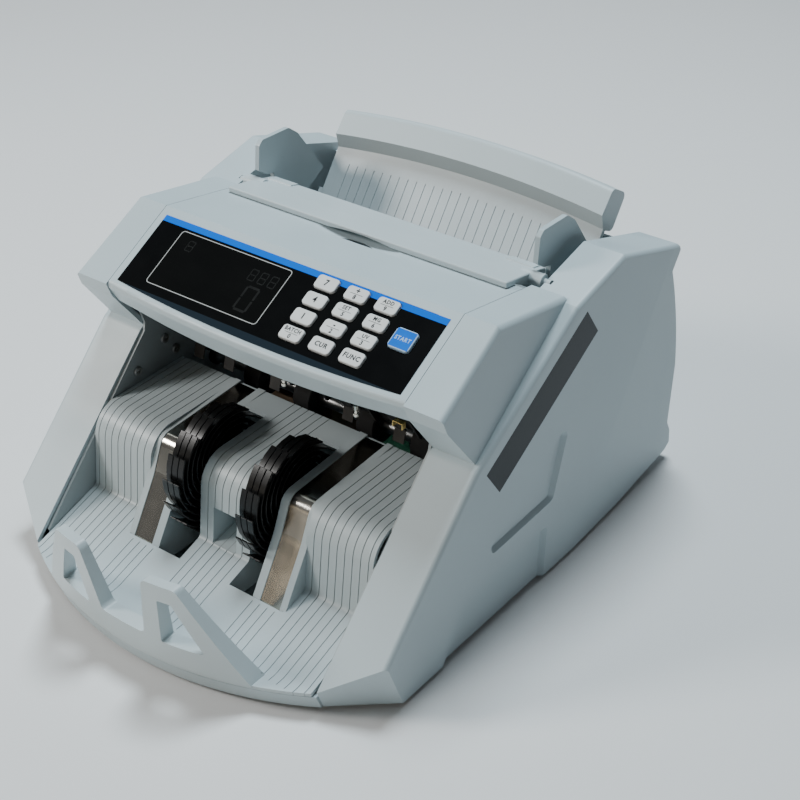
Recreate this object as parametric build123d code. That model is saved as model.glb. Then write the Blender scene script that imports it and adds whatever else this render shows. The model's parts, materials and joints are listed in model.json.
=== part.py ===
from build123d import *
import math
import os

# Banknote counting machine, in millimetres.
# X runs across the machine, -Y is the front, +Z is up and Z = 0 is the table.

# ---------------------------------------------------------------- overall sizes
WIDTH = 250.0
DEPTH = 326.0
HEIGHT = 182.0
FOOT_H = 2.5

HALF = WIDTH / 2
FRONT = -DEPTH / 2
REAR = DEPTH / 2

# ---------------------------------------------------------------- fits and gaps
SEAM_GAP = 0.3
RUN_FIT = 0.06
SLIDE_GAP = 0.3
BELT_GAP = 0.3

# ---------------------------------------------------------------- walls
WALL = 2.5
TRAY_WALL = 2.2
FRAME_T = 1.5
FRAME_GAP = 1.5
FRAME_TOE = 6.7
FRAME_TOE_RISE = 2.56
TIE_BAR_R = 4.0
PAN_T = 2.0

# ---------------------------------------------------------------- across the machine
COVER_W = 28.6
HUMP_STEP = 3.6
SHOULDER_W = 20.0
SEAM_X = HALF - COVER_W
FRAME_X = SEAM_X - SEAM_GAP
HUMP_X = SEAM_X + HUMP_STEP
SHOULDER_X = SEAM_X + SHOULDER_W
SHOULDER_DRAFT = 4.5
TRAY_HALF = FRAME_X - FRAME_T - SEAM_GAP

# ---------------------------------------------------------------- console
CONSOLE_Y = FRONT + 100.5
CONSOLE_Z = HEIGHT - 42.0
SLOPE_DEG = 29.5
SLOPE_LEN = 54.2
TOP_FALL_DEG = 9.0
LIP_BOW = 4.3
LIP_DROP = 8.5
LIP_R = 3.2
CONSOLE_TOP_Y = CONSOLE_Y + SLOPE_LEN * math.cos(math.radians(SLOPE_DEG))
CONSOLE_TOP_Z = CONSOLE_Z + SLOPE_LEN * math.sin(math.radians(SLOPE_DEG))
HUMP_FOOT_Y = CONSOLE_TOP_Y + 57.2
KNEE = (CONSOLE_Y + 20.2, CONSOLE_Z - 36.6)
COVE_R = 10.0


def deck_z(y):
    """Height of the console's top face at y."""
    return CONSOLE_TOP_Z - (y - CONSOLE_TOP_Y) * math.tan(math.radians(TOP_FALL_DEG))


# ---------------------------------------------------------------- side covers
LEG_FOOT = (FRONT + 53.0, FOOT_H + 31.6)
HUMP_FOOT = (HUMP_FOOT_Y - 2.0, deck_z(HUMP_FOOT_Y) - 2.2)
HUMP_TOP = (HUMP_FOOT_Y + 41.5, HEIGHT - 16.0)
HUMP_REAR = (REAR - 21.5, HEIGHT - 33.5)
REAR_NOTCH = (REAR - 26.5, HEIGHT - 47.5)
REAR_MID = (REAR - 10.7, HEIGHT - 92.5)
REAR_LOW = (REAR - 6.0, FOOT_H + 24.0)
TOE_Y = FRONT + 38.4
TOE_DEG = 40.8
TOE_LEAN = 0.303
TAPER_DEG = 3.0
RECESS_DEPTH = 2.5
RIDGE_R = 2.5
SHOULDER_R = 3.0

# ---------------------------------------------------------------- panel and keys
PANEL_S0 = 4.5
PANEL_LEN = 44.6
PANEL_HALF = HALF - 33.2
PANEL_BOW = 4.4
PANEL_T = 0.8
PANEL_PROUD = 0.2
KEY_W = 12.8
KEY_L = 7.8
KEY_PITCH_X = 18.6
KEY_PITCH_S = 10.45
KEY_X0 = 21.1
KEY_S0 = 7.8
KEY_TRAVEL = 0.8
KEY_PROUD = 1.3
KEY_GAP = 0.35
KEY_FLANGE = 0.8
KEY_FLANGE_T = 0.8
KEY_STEM_R = 1.6
KEY_CORNER_R = 1.9
START_X = 76.6
START_S = 25.7
START_W = 12.4
START_L = 11.4
BOARD_DEPTH = 10.0
BOARD_T = 1.6
SWITCH_H = 2.4
WINDOW_X = (-75.2, -1.1)
WINDOW_S = (5.6, 38.8)
WINDOW_T = 1.6

# ---------------------------------------------------------------- lid
LID_FRONT_Y = CONSOLE_TOP_Y + 42.3
LID_RISE = 3.6
LID_CREASE_Y = LID_FRONT_Y + 18.0
LID_REAR_Y = LID_FRONT_Y + 35.0
COVER_END_Y = LID_FRONT_Y + 8.0
LID_HALF = SEAM_X - 5.0
LID_EDGE_T = 3.4
LID_T = 2.6
LID_PIN_R = 2.0
LID_PIN_Y = LID_FRONT_Y + 23.0
LID_PIN_Z = deck_z(LID_FRONT_Y) - 3.5
SCOOP_HALF = 27.0
SCOOP_DEEP = 2.6

# ---------------------------------------------------------------- hopper
TRAY_HALF_W = SEAM_X - 6.4
TRAY_DEG = 54.1
TRAY_T = 3.0
HEAD_PT = (REAR - 39.3, HEIGHT - 21.4)
TRAY_LEN = 78.0
HEAD_CROWN = 5.6
TICKS = 27
TICK_PITCH = 6.0
TICK_LEN = 27.0
GUIDE_T = 2.8
GUIDE_X = TRAY_HALF_W + 0.6
RAIL_R = 2.5
GUIDE_BOSS_R = 4.5
GUIDE_BOSS_L = 16.0

# ---------------------------------------------------------------- stacker
DECK = (FRONT + 148.0, 75.0)
BLOCK_FACE_Y = FRONT + 78.0
BLOCK_FOOT_Z = 28.5
BLOCK_R = 17.0
FLOOR_SLOPE = 0.33
RIB_FOOT_Y = FRONT + 60.5
SLOT_IN = 17.1
SLOT_OUT = 32.6
PLATE_IN = 37.4
PLATE_OUT = 50.2
RIB_OUT = 54.0
RIM_Z = 14.0
RIM_R = 185.4
FENCE_AXIS_Y = FRONT + 191.0
FENCE_LEAN = 0.13
RIM_LEAN = 0.35
FENCE_TOP = 67.0
FENCE_T_TOP = 5.5
FENCE_T_LOW = 9.5
VALLEY = (14.3, 28.8)
TOWER_TOP = (22.0, 39.5)
SLOPE_END = 68.5
SKIRT_Z = RIM_Z - TRAY_WALL
GROOVE_W = 0.5
GROOVE_D = 0.35
GROOVE_PITCH = 4.8
NOTE_PLATE_T = 0.8
NOTE_PLATE_SUNK = 0.4
LENS_R = 3.2
LENS_AT = (BLOCK_FACE_Y + 13.0, BLOCK_FOOT_Z + 6.0)
NICHE_HALF = 8.0

# ---------------------------------------------------------------- shafts and rollers
IMPELLER_R = 35.0
IMPELLER_W = 12.0
IMPELLER_HUB_R = 10.0
IMPELLER_FINS = 14
FIN_T = 1.3
IMPELLER_AT = (FRONT + 99.4, 55.6)
WHEEL_GAP = 1.0
SHAFT_R = 4.0
FEED_R = 18.0
PICKUP_R = 13.0
TRANSPORT_R = 11.0
PINCH_R = 7.0
RETARD_R = 11.0
TRANSPORT_AT = (DECK[0] + 27.0, DECK[1] - 11.0)
BUSH_R = 6.0
BUSH_L = 4.0
BELT_T = 1.5
BELT_W = 5.0
BELT_LANE = 6.0
LANE_A = (FRAME_X - 12.0, FRAME_X - 12.0 + BELT_LANE)
LANE_B = (FRAME_X - 22.0, FRAME_X - 22.0 + BELT_LANE)
LANE_C = (-LANE_A[1], -LANE_A[0])
MOTOR_PULLEY_R = 8.0
FEED_PULLEY_R = 14.0
FEED_DRIVE_R = 14.0
TRANSPORT_PULLEY_R = 7.0
STACK_SMALL_R = 7.0
STACK_LARGE_R = 12.0
PICKUP_PULLEY_R = 6.0
FLANGE = 1.2
FLANGE_T = 0.8
FEED_X = 30.0
FEED_W = 16.0
PICKUP_W = 15.0
MOTOR_R = 20.0
MOTOR_X = (-5.0, FRAME_X - 34.0)
MOTOR_AT = (REAR - 49.0, FOOT_H + 33.0)

# ---------------------------------------------------------------- rear panel
PANEL_INSET = 6.0
INLET_X = -62.0
SWITCH_X = -22.0
SOCKET_X = 45.0
REAR_ROW_Z = 44.0
KNOB_X = 0.0
KNOB_R = 9.0
FLAT_Y = REAR - PANEL_INSET - 5.5
KNOB_Z = HEIGHT - 70.0
ROCKER_AT = (FLAT_Y - 2.0, REAR_ROW_Z)
ROCKER_DEG = 8.0
FOOT_R = 8.0


# ================================================================= helpers
def face_yz(points):
    """Flat face from an outline of (y, z) points."""
    return make_face(Polyline(*points, close=True))


def prism_x(outline, x0, x1):
    """Outline in the YZ plane, run along X from x0 to x1."""
    return extrude(Plane.YZ.offset(x0) * outline, amount=x1 - x0)


def block(x0, x1, y0, y1, z0, z1):
    """Box from its two corners."""
    middle = Pos((x0 + x1) / 2, (y0 + y1) / 2, (z0 + z1) / 2)
    return middle * Box(x1 - x0, y1 - y0, z1 - z0)


def rod_x(at, radius, x0, x1):
    """Round bar along X through the (y, z) point."""
    return Pos((x0 + x1) / 2, at[0], at[1]) * Rot(0, 90, 0) * Cylinder(radius, x1 - x0)


def inset(face, amount):
    """The same outline moved inwards, with sharp corners."""
    return offset(face, amount=-amount, kind=Kind.INTERSECTION)


def other_side(shape):
    """The mirrored twin of a right-hand piece."""
    return mirror(shape, about=Plane.YZ)


def rounded(width, length, height, radius):
    """Upright block with rounded corners, standing on its own plane."""
    return extrude(RectangleRounded(width, length, radius), amount=height)


SLOPE = Plane(
    origin=(0, CONSOLE_Y, CONSOLE_Z),
    x_dir=(1, 0, 0),
    z_dir=(0, -math.sin(math.radians(SLOPE_DEG)), math.cos(math.radians(SLOPE_DEG))),
)
PANEL = SLOPE * Pos(0, PANEL_S0, 0)
TRAY_DIR = (math.cos(math.radians(TRAY_DEG)), math.sin(math.radians(TRAY_DEG)))
TRAY_BACK = (TRAY_DIR[1], -TRAY_DIR[0])


def on_tray(along, behind):
    """Point (y, z) at a distance down the tray face from its head and behind that face."""
    return (
        HEAD_PT[0] - along * TRAY_DIR[0] + behind * TRAY_BACK[0],
        HEAD_PT[1] - along * TRAY_DIR[1] + behind * TRAY_BACK[1],
    )


PICKUP_AT = on_tray(60.0, PICKUP_R - 1.2)
FEED_AT = on_tray(96.0, FEED_R)
RETARD_AT = on_tray(96.0, -RETARD_R - BELT_GAP)
PINCH_AT = (TRANSPORT_AT[0], TRANSPORT_AT[1] + TRANSPORT_R + PINCH_R + BELT_GAP)
RAIL_AT = (LID_PIN_Y + 16.0, LID_PIN_Z - 11.0)


# ================================================================= side covers
def slab_outline():
    """Outline of a side cover seen from the side."""
    lean = (KNEE[1] - LEG_FOOT[1]) / (KNEE[0] - LEG_FOOT[0])
    toe = (LEG_FOOT[0] - (LEG_FOOT[1] - FOOT_H) / lean, FOOT_H)
    front = Polyline(toe, KNEE, HUMP_FOOT, HUMP_TOP)
    top = Polyline(HUMP_TOP, HUMP_REAR, (HUMP_REAR[0] + 2.0, HUMP_REAR[1] - 4.0), REAR_NOTCH)
    back = ThreePointArc(REAR_NOTCH, REAR_MID, (REAR_LOW[0], REAR_LOW[1] + 40.0))
    lower = Polyline(
        (REAR_LOW[0], REAR_LOW[1] + 40.0),
        REAR_LOW,
        (REAR - 1.4, FOOT_H + 16.7),
        (REAR, FOOT_H + 7.5),
        (REAR - 4.5, FOOT_H + 4.5),
        (REAR - 62.0, FOOT_H),
        toe,
    )
    return make_face(front + top + back + lower)


def shoulder_outline():
    """Outline of the console seen from the side, above the ridge."""
    return face_yz([
        (CONSOLE_Y, CONSOLE_Z),
        (CONSOLE_TOP_Y, CONSOLE_TOP_Z),
        (HUMP_FOOT_Y, deck_z(HUMP_FOOT_Y)),
        (HUMP_FOOT_Y, HUMP_FOOT[1] - 14.0),
        (KNEE[0] + 10.0, KNEE[1] - 6.0),
        (KNEE[0] + 2.5, KNEE[1] + 2.2),
        (CONSOLE_Y + 3.2, CONSOLE_Z - LIP_DROP),
    ])


def recess(points, radius):
    """Shallow sunk panel in the outer wall, with sloping sides."""
    outline = face_yz(points)
    outline = fillet(outline.vertices(), radius)
    return extrude(Plane.YZ.offset(HALF + 0.01) * outline, amount=-RECESS_DEPTH, taper=40)


def side_cover():
    """Right-hand side cover: leg, console shoulder, hump and outer wall in one moulding."""
    slab = extrude(Plane.YZ.offset(SEAM_X) * slab_outline(), amount=COVER_W)
    rim = [
        e for e in slab.faces().sort_by(Axis.X)[-1].edges()
        if e.center().Z > LEG_FOOT[1] + 5 and e.center().Y < REAR_NOTCH[0]
    ]
    slab = fillet(rim, RIDGE_R)
    shoulder = prism_x(shoulder_outline(), SEAM_X, SHOULDER_X + 8.0)
    draft = math.radians(SHOULDER_DRAFT)
    side = Plane(origin=(SHOULDER_X, 0, CONSOLE_TOP_Z), z_dir=(math.cos(draft), 0, math.sin(draft)))
    shoulder = split(shoulder, bisect_by=side, keep=Keep.BOTTOM)
    rim = [
        e for e in shoulder.faces().sort_by(Axis.X)[-1].edges()
        if e.center().Z > deck_z(HUMP_FOOT_Y) - 20 and e.center().Y < HUMP_FOOT_Y - 2
    ]
    shoulder = fillet(rim, SHOULDER_R)
    cover = slab + shoulder
    cover -= block(SEAM_X - 1, HUMP_X, HUMP_FOOT_Y, REAR + 1, -1, HEIGHT)
    cove = [
        e for e in cover.edges().filter_by(Axis.X)
        if abs(e.center().Y - KNEE[0]) < 6 and abs(e.center().Z - KNEE[1]) < 8 and e.length > 15
    ]
    cover = fillet(cove[:1], COVE_R)
    toe = math.radians(TOE_DEG)
    toe_face = Plane(origin=(SEAM_X, TOE_Y, FOOT_H), z_dir=(math.sin(toe), -math.cos(toe), -TOE_LEAN))
    cover = split(cover, bisect_by=toe_face, keep=Keep.BOTTOM)
    taper = math.radians(TAPER_DEG)
    crease = Plane(
        origin=(HALF, REAR - 66.0, FOOT_H + 80.0),
        z_dir=(math.cos(taper), math.sin(taper) * 0.85, -math.sin(taper) * 0.5),
    )
    cover = split(cover, bisect_by=crease, keep=Keep.BOTTOM)
    cover -= side_void()
    cover -= recess([
        (HUMP_FOOT[0], HUMP_FOOT[1] - 64.0),
        (HUMP_FOOT[0] - 13.0, FOOT_H + 46.0),
        (KNEE[0] + 1.0, FOOT_H + 43.5),
    ], 4.0)
    cover -= recess([
        (HUMP_FOOT[0] - 17.0, FOOT_H + 32.0),
        (HUMP_FOOT[0] - 19.0, FOOT_H - 20.0),
        (LEG_FOOT[0] + 32.0, FOOT_H - 20.0),
        (LEG_FOOT[0] + 59.0, FOOT_H + 32.0),
    ], 3.0)
    cover -= rod_x((LID_PIN_Y, LID_PIN_Z), LID_PIN_R + RUN_FIT, HUMP_X - 1, HUMP_X + WALL + 1)
    return cover


def side_void():
    """Hollow inside a side cover; the hump keeps its inner wall."""
    core = prism_x(inset(slab_outline(), WALL), SEAM_X - 1, HALF - WALL - 4.2)
    core -= block(SEAM_X - 2, HUMP_X + WALL, HUMP_FOOT_Y - 10, REAR + 1, HUMP_FOOT[1] - 40, HEIGHT)
    shoulder = prism_x(inset(shoulder_outline(), WALL), SEAM_X - 1, SHOULDER_X - WALL)
    shoulder -= block(SEAM_X - 2, HALF, HUMP_FOOT_Y - WALL, REAR, 0, HEIGHT)
    link = block(
        SEAM_X - 1, SHOULDER_X - WALL,
        KNEE[0] + 16, HUMP_FOOT_Y - 10 - WALL, KNEE[1] - 8, HUMP_FOOT[1] - 24,
    )
    toe = math.radians(TOE_DEG)
    keep = Plane(
        origin=(SEAM_X, TOE_Y + WALL / math.cos(toe), FOOT_H),
        z_dir=(math.sin(toe), -math.cos(toe), -TOE_LEAN),
    )
    core = split(core, bisect_by=keep, keep=Keep.BOTTOM)
    return core + shoulder + link


# ================================================================= console
def front_outline(drop):
    """Outline of the console shell; drop is how far its lower edge hangs below the seam line."""
    run = math.radians(SLOPE_DEG)
    low = (CONSOLE_Y - drop * math.cos(run), CONSOLE_Z - drop * math.sin(run))
    return face_yz([
        low,
        (CONSOLE_TOP_Y, CONSOLE_TOP_Z),
        (COVER_END_Y, deck_z(COVER_END_Y)),
        (COVER_END_Y, deck_z(COVER_END_Y) - 30.0),
        (CONSOLE_Y + 10.0, CONSOLE_Z - 24.0),
        (low[0] + 4.6, low[1] - LIP_DROP),
    ])


def front_cover():
    """Middle cover of the console: bowed lip, sloping face and top, with its openings."""
    half = SEAM_X - SEAM_GAP
    outline = front_outline(2 * LIP_BOW)
    bow = half**2 / (2 * LIP_BOW) + LIP_BOW / 2
    bow_axis = SLOPE * Pos(0, bow - LIP_BOW, 0)
    shell = prism_x(outline, -half, half) & (bow_axis * Cylinder(bow, 200))
    long_edges = [e for e in shell.edges() if e.length > half and e.center().Y < CONSOLE_Y + 6]
    crest = ShapeList(long_edges).sort_by(Axis.Z)[-1]
    shell = fillet([crest], LIP_R)
    mouth = face_yz([
        (CONSOLE_Y + 2.0, CONSOLE_Z - 34.0),
        (CONSOLE_Y + 6.0, CONSOLE_Z - 13.0),
        (CONSOLE_TOP_Y, CONSOLE_TOP_Z - 12.0),
        (LID_REAR_Y, deck_z(LID_REAR_Y) - WALL - 1.0),
        (LID_REAR_Y, CONSOLE_Z - 60.0),
    ])
    shell -= prism_x(inset(outline, WALL), -half - 1, half + 1) & (bow_axis * Cylinder(bow - WALL, 200))
    shell -= prism_x(mouth, -half - 1, half + 1)
    shell -= PANEL * panel_plate(PANEL_T)
    low, high = WINDOW_S
    shell -= PANEL * Pos(sum(WINDOW_X) / 2, (low + high) / 2, 0) * Box(
        WINDOW_X[1] - WINDOW_X[0] - 3.0, high - low - 3.0, 20.0)
    pad = KEY_FLANGE + 1.0
    left = KEY_X0 - KEY_W / 2 - pad
    right = START_X + START_W / 2 + pad
    bottom = KEY_S0 - KEY_L / 2 - pad
    top = KEY_S0 + 3 * KEY_PITCH_S + KEY_L / 2 + pad
    shell -= PANEL * Pos((left + right) / 2, (bottom + top) / 2, 0) * Box(right - left, top - bottom, 20.0)
    shell -= Pos(0, LID_FRONT_Y, deck_z(LID_FRONT_Y)) * scoop()
    return shell


def scoop():
    """Lens-shaped finger dish at the lid's front edge."""
    radius = (SCOOP_HALF**2 + SCOOP_DEEP**2) / (2 * SCOOP_DEEP)
    return Pos(0, 2.0, radius - SCOOP_DEEP) * Sphere(radius) & Box(4 * SCOOP_HALF, 15, 20)


def panel_plate(thickness):
    """Blank of the control panel film with its bowed lower edge; its back is at -PANEL_T."""
    bow = PANEL_HALF**2 / (2 * PANEL_BOW) + PANEL_BOW / 2
    blank = Pos(0, (PANEL_LEN - PANEL_BOW) / 2, thickness / 2) * Box(
        2 * PANEL_HALF, PANEL_LEN + PANEL_BOW, thickness)
    blank = blank & Pos(0, bow - PANEL_BOW, 0) * Cylinder(bow, 10)
    return Pos(0, 0, -thickness) * blank


def key_places():
    """Names and panel positions (x, s) of the twelve small keys."""
    rows = [["0", "cur", "func"], ["1", "2", "3"], ["4", "5", "6"], ["7", "8", "9"]]
    places = []
    for r, row in enumerate(rows):
        for c, label in enumerate(row):
            places.append(("key_" + label, KEY_X0 + c * KEY_PITCH_X, KEY_S0 + r * KEY_PITCH_S))
    return places


def key_cap(width, length):
    """One key: cap through the panel, a flange that keeps it in, and a stem to its switch."""
    cap = rounded(width, length, PANEL_T + KEY_PROUD, KEY_CORNER_R)
    cap = fillet(cap.faces().sort_by(Axis.Z)[-1].edges(), 0.5)
    cap = Pos(0, 0, -PANEL_T) * cap
    flange_z = -PANEL_T - KEY_FLANGE_T - 0.05
    flange = Pos(0, 0, flange_z) * rounded(
        width + 2 * KEY_FLANGE, length + 2 * KEY_FLANGE, KEY_FLANGE_T, KEY_CORNER_R)
    neck = Pos(0, 0, flange_z) * rounded(width, length, KEY_FLANGE_T + 0.1, KEY_CORNER_R)
    stem_l = BOARD_DEPTH + flange_z - BOARD_T - SWITCH_H - KEY_TRAVEL - 0.1
    stem = Pos(0, 0, flange_z - stem_l / 2) * Cylinder(KEY_STEM_R, stem_l)
    return cap + neck + flange + stem


def panel_overlay():
    """Printed control panel film with a hole for each key and for the display window."""
    film = PANEL * Pos(0, 0, PANEL_PROUD) * panel_plate(PANEL_T)
    holes = []
    for _, x, s in key_places():
        holes.append(Pos(x, s, -2) * rounded(
            KEY_W + 2 * KEY_GAP, KEY_L + 2 * KEY_GAP, 4, KEY_CORNER_R + KEY_GAP))
    holes.append(Pos(START_X, START_S, -2) * rounded(
        START_W + 2 * KEY_GAP, START_L + 2 * KEY_GAP, 4, KEY_CORNER_R + KEY_GAP))
    holes.append(Pos(0, 0, -2) * window_blank(0.0, 4))
    for hole in holes:
        film -= PANEL * hole
    return film


def window_blank(shrink, thickness):
    """Upright rectangle of the display window."""
    low, high = WINDOW_S
    middle = Pos(sum(WINDOW_X) / 2, (low + high) / 2, 0)
    return middle * rounded(
        WINDOW_X[1] - WINDOW_X[0] - 2 * shrink, high - low - 2 * shrink, thickness, 1.2)


def display_window():
    """Smoked window that fills the hole in the film."""
    return PANEL * Pos(0, 0, PANEL_PROUD - PANEL_T) * window_blank(0.1, PANEL_T)


def display_module():
    """Liquid crystal display in its metal frame, behind the window."""
    low, high = WINDOW_S
    middle = Pos(sum(WINDOW_X) / 2, (low + high) / 2, 0)
    width = WINDOW_X[1] - WINDOW_X[0]
    frame = middle * Pos(0, 0, -PANEL_T - WALL - 3.8) * Box(width - 1.0, high - low - 1.0, 6.0)
    glass = middle * Pos(0, 0, -PANEL_T - WALL + 0.2) * Box(width - 8.0, high - low - 8.0, 2.2)
    board = middle * Pos(0, 0, -PANEL_T - WALL - 7.6) * Box(width, high - low, BOARD_T)
    return PANEL * (frame + glass + board)


def keypad_board():
    """Circuit board under the keys, with one tactile switch for each."""
    left = KEY_X0 - KEY_W / 2 - 3.0
    right = START_X + START_W / 2 + 3.0
    bottom = KEY_S0 - KEY_L / 2 - 2.0
    top = KEY_S0 + 3 * KEY_PITCH_S + KEY_L / 2 + 2.0
    z = -BOARD_DEPTH
    board = Pos((left + right) / 2, (bottom + top) / 2, z + BOARD_T / 2) * Box(
        right - left, top - bottom, BOARD_T)
    spots = [(x, s) for _, x, s in key_places()] + [(START_X, START_S)]
    for x, s in spots:
        board += Pos(x, s, z + BOARD_T + SWITCH_H / 2) * Box(6.0, 6.0, SWITCH_H)
    return PANEL * board


# ================================================================= lid
def lid_top(y):
    """Height of the lid's top face at y, up to its crease."""
    return deck_z(y) + LID_RISE


def top_lid():
    """Feed cover: a plate with a thick front edge, a rear bevel and two pins it swings on."""
    crease = lid_top(LID_CREASE_Y)
    rear = crease - 3.7
    outline = face_yz([
        (LID_FRONT_Y, lid_top(LID_FRONT_Y)),
        (LID_CREASE_Y, crease),
        (LID_REAR_Y, rear),
        (LID_REAR_Y + 0.3, rear - LID_T),
        (LID_PIN_Y + 3.0, LID_PIN_Z - 3.0),
        (LID_PIN_Y - 3.0, LID_PIN_Z - 3.0),
        (LID_FRONT_Y + 9.0, deck_z(LID_FRONT_Y + 9.0) + LID_RISE - LID_EDGE_T),
        (LID_FRONT_Y, lid_top(LID_FRONT_Y) - LID_EDGE_T),
    ])
    lid = prism_x(outline, -LID_HALF, LID_HALF)
    ends = lid.faces().filter_by(Axis.X)
    rim = [e for face in ends for e in face.edges() if e.center().Z > lid_top(LID_REAR_Y) - 1.5]
    front = [e for e in lid.edges().filter_by(Axis.X) if abs(e.center().Y - LID_FRONT_Y) < 0.1]
    lid = fillet(rim + front, 0.8)
    for side in (-1, 1):
        centre = side * (LID_HALF - 11.5)
        tab = face_yz([
            (LID_REAR_Y - 6.0, rear + 2.0),
            (LID_REAR_Y, rear + 0.6),
            (LID_REAR_Y, rear - 1.0),
            (LID_REAR_Y - 8.0, rear - 1.0),
        ])
        lid += prism_x(tab, centre - 8.3, centre + 8.3)
        pin = rod_x((LID_PIN_Y, LID_PIN_Z), LID_PIN_R, LID_HALF - 6.0, HUMP_X + WALL)
        boss = rod_x((LID_PIN_Y, LID_PIN_Z), LID_PIN_R + 2.0, LID_HALF - 6.0, HUMP_X - 1.5)
        ear = pin + boss
        lid += ear if side > 0 else other_side(ear)
    radius = (SCOOP_HALF**2 + SCOOP_DEEP**2) / (2 * SCOOP_DEEP)
    under = lid_top(LID_FRONT_Y) - LID_EDGE_T
    notch = Pos(0, LID_FRONT_Y, under + SCOOP_DEEP - 0.8 - radius) * Rot(90, 0, 0) * Cylinder(radius, 14)
    lid -= notch & block(-SCOOP_HALF, SCOOP_HALF, LID_FRONT_Y - 8, LID_FRONT_Y + 8, under - 3, under + 2.4)
    return lid


# ================================================================= hopper
def hopper_tray():
    """Rear hopper plate: a leaning plate under a rolled, crowned head, ruled with fine grooves."""
    head_yz = face_yz([
        (HEAD_PT[0] - 2.6, HEAD_PT[1] + 4.8),
        (HEAD_PT[0] + 7.5, HEAD_PT[1] + 16.6),
        (HEAD_PT[0] + 21.5, HEAD_PT[1] + 9.0),
        (HEAD_PT[0] + 9.0, HEAD_PT[1] - 9.0),
        (HEAD_PT[0] - 0.4, HEAD_PT[1] - 4.6),
    ])
    head_yz = fillet(head_yz.vertices().sort_by(Axis.Y)[0], 4.0)
    head_yz = fillet([v for v in head_yz.vertices() if v.Y > HEAD_PT[1] + 7.5], 3.5)
    crown_r = (TRAY_HALF_W**2 + HEAD_CROWN**2) / (2 * HEAD_CROWN)
    pivot = on_tray(crown_r, 0.0)
    swing = math.degrees(math.asin(TRAY_HALF_W / crown_r)) + 2.0
    lift = (HEAD_CROWN * TRAY_DIR[0], HEAD_CROWN * TRAY_DIR[1])
    section = Pos(0, lift[0], lift[1]) * Plane.YZ * head_yz
    spin = Axis((0, pivot[0] + lift[0], pivot[1] + lift[1]), (0, TRAY_BACK[0], TRAY_BACK[1]))
    head = revolve(section.rotate(spin, -swing), spin, 2 * swing)
    plate = prism_x(face_yz([
        on_tray(-HEAD_CROWN - 2.0, 0.0),
        on_tray(-HEAD_CROWN - 2.0, TRAY_T),
        on_tray(TRAY_LEN, TRAY_T),
        on_tray(TRAY_LEN, 0.0),
    ]), -TRAY_HALF_W, TRAY_HALF_W)
    plate = plate & block(-HALF, HALF, FRONT, REAR, 0, HEAD_PT[1] + 3.0)
    ends = block(-TRAY_HALF_W, TRAY_HALF_W, FRONT, REAR, 0, HEIGHT + 20)
    tray = (head & ends) + plate
    for side in (-1, 1):
        x0 = side * (FRAME_X - FRAME_T - SEAM_GAP)
        x1 = side * (TRAY_HALF_W - 4.0)
        lug = face_yz([
            on_tray(32.0, TRAY_T - 0.5),
            on_tray(50.0, TRAY_T - 0.5),
            on_tray(48.0, 14.0),
            on_tray(36.0, 14.0),
        ])
        tray += prism_x(lug, min(x0, x1), max(x0, x1))
    for side in (-1, 1):
        centre = side * FEED_X
        tray -= rod_x(PICKUP_AT, PICKUP_R + 1.5, centre - PICKUP_W / 2 - 2.0, centre + PICKUP_W / 2 + 2.0)
    ticks = []
    for i in range(TICKS):
        x = (i - (TICKS - 1) / 2) * TICK_PITCH
        start = 11.0 + 4.0 * abs(x) / TRAY_HALF_W
        tick = face_yz([
            on_tray(start, -1.0),
            on_tray(start, GROOVE_D),
            on_tray(start + TICK_LEN, GROOVE_D),
            on_tray(start + TICK_LEN, -1.0),
        ])
        ticks.append(prism_x(tick, x - GROOVE_W / 2, x + GROOVE_W / 2))
    return tray - ticks


def hopper_guide():
    """Right-hand side guide: an upright plate with a pale front lip, on a boss round the rail."""
    plate = face_yz([
        (LID_PIN_Y + 1.2, lid_top(LID_REAR_Y) + 6.2),
        (LID_PIN_Y + 2.5, HEIGHT - 3.6),
        (LID_REAR_Y - 6.5, HEIGHT - 0.8),
        (LID_REAR_Y + 15.5, HEIGHT - 1.0),
        (LID_REAR_Y + 23.0, HEIGHT - 6.5),
        (LID_REAR_Y + 44.5, HEIGHT - 35.0),
        (LID_REAR_Y + 25.0, RAIL_AT[1] - 10.0),
        (RAIL_AT[0] - 2.0, RAIL_AT[1] - 10.0),
        (RAIL_AT[0] - 2.0, lid_top(LID_REAR_Y) - 9.0),
        (LID_REAR_Y + 1.6, lid_top(LID_REAR_Y) - 7.0),
        (LID_REAR_Y + 1.6, lid_top(LID_REAR_Y) + 0.6),
        (LID_PIN_Y + 7.0, lid_top(LID_REAR_Y) + 2.2),
    ])
    corner = [v for v in plate.vertices() if v.Y > HEIGHT - 4 and v.X < LID_REAR_Y]
    plate = fillet(corner, 2.0)
    peak = [v for v in plate.vertices() if v.Y > HEIGHT - 8 and v.X > LID_REAR_Y]
    plate = fillet(peak, 4.0)
    guide = prism_x(plate, GUIDE_X, GUIDE_X + GUIDE_T)
    boss = rod_x(RAIL_AT, GUIDE_BOSS_R, GUIDE_X + GUIDE_T - GUIDE_BOSS_L, GUIDE_X + GUIDE_T)
    guide += boss
    guide -= rod_x(RAIL_AT, RAIL_R + RUN_FIT, GUIDE_X - 40, GUIDE_X + 40)
    return guide


def guide_rail():
    """Steel rod that both side guides slide on."""
    return rod_x(RAIL_AT, RAIL_R, -FRAME_X, FRAME_X)


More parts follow.
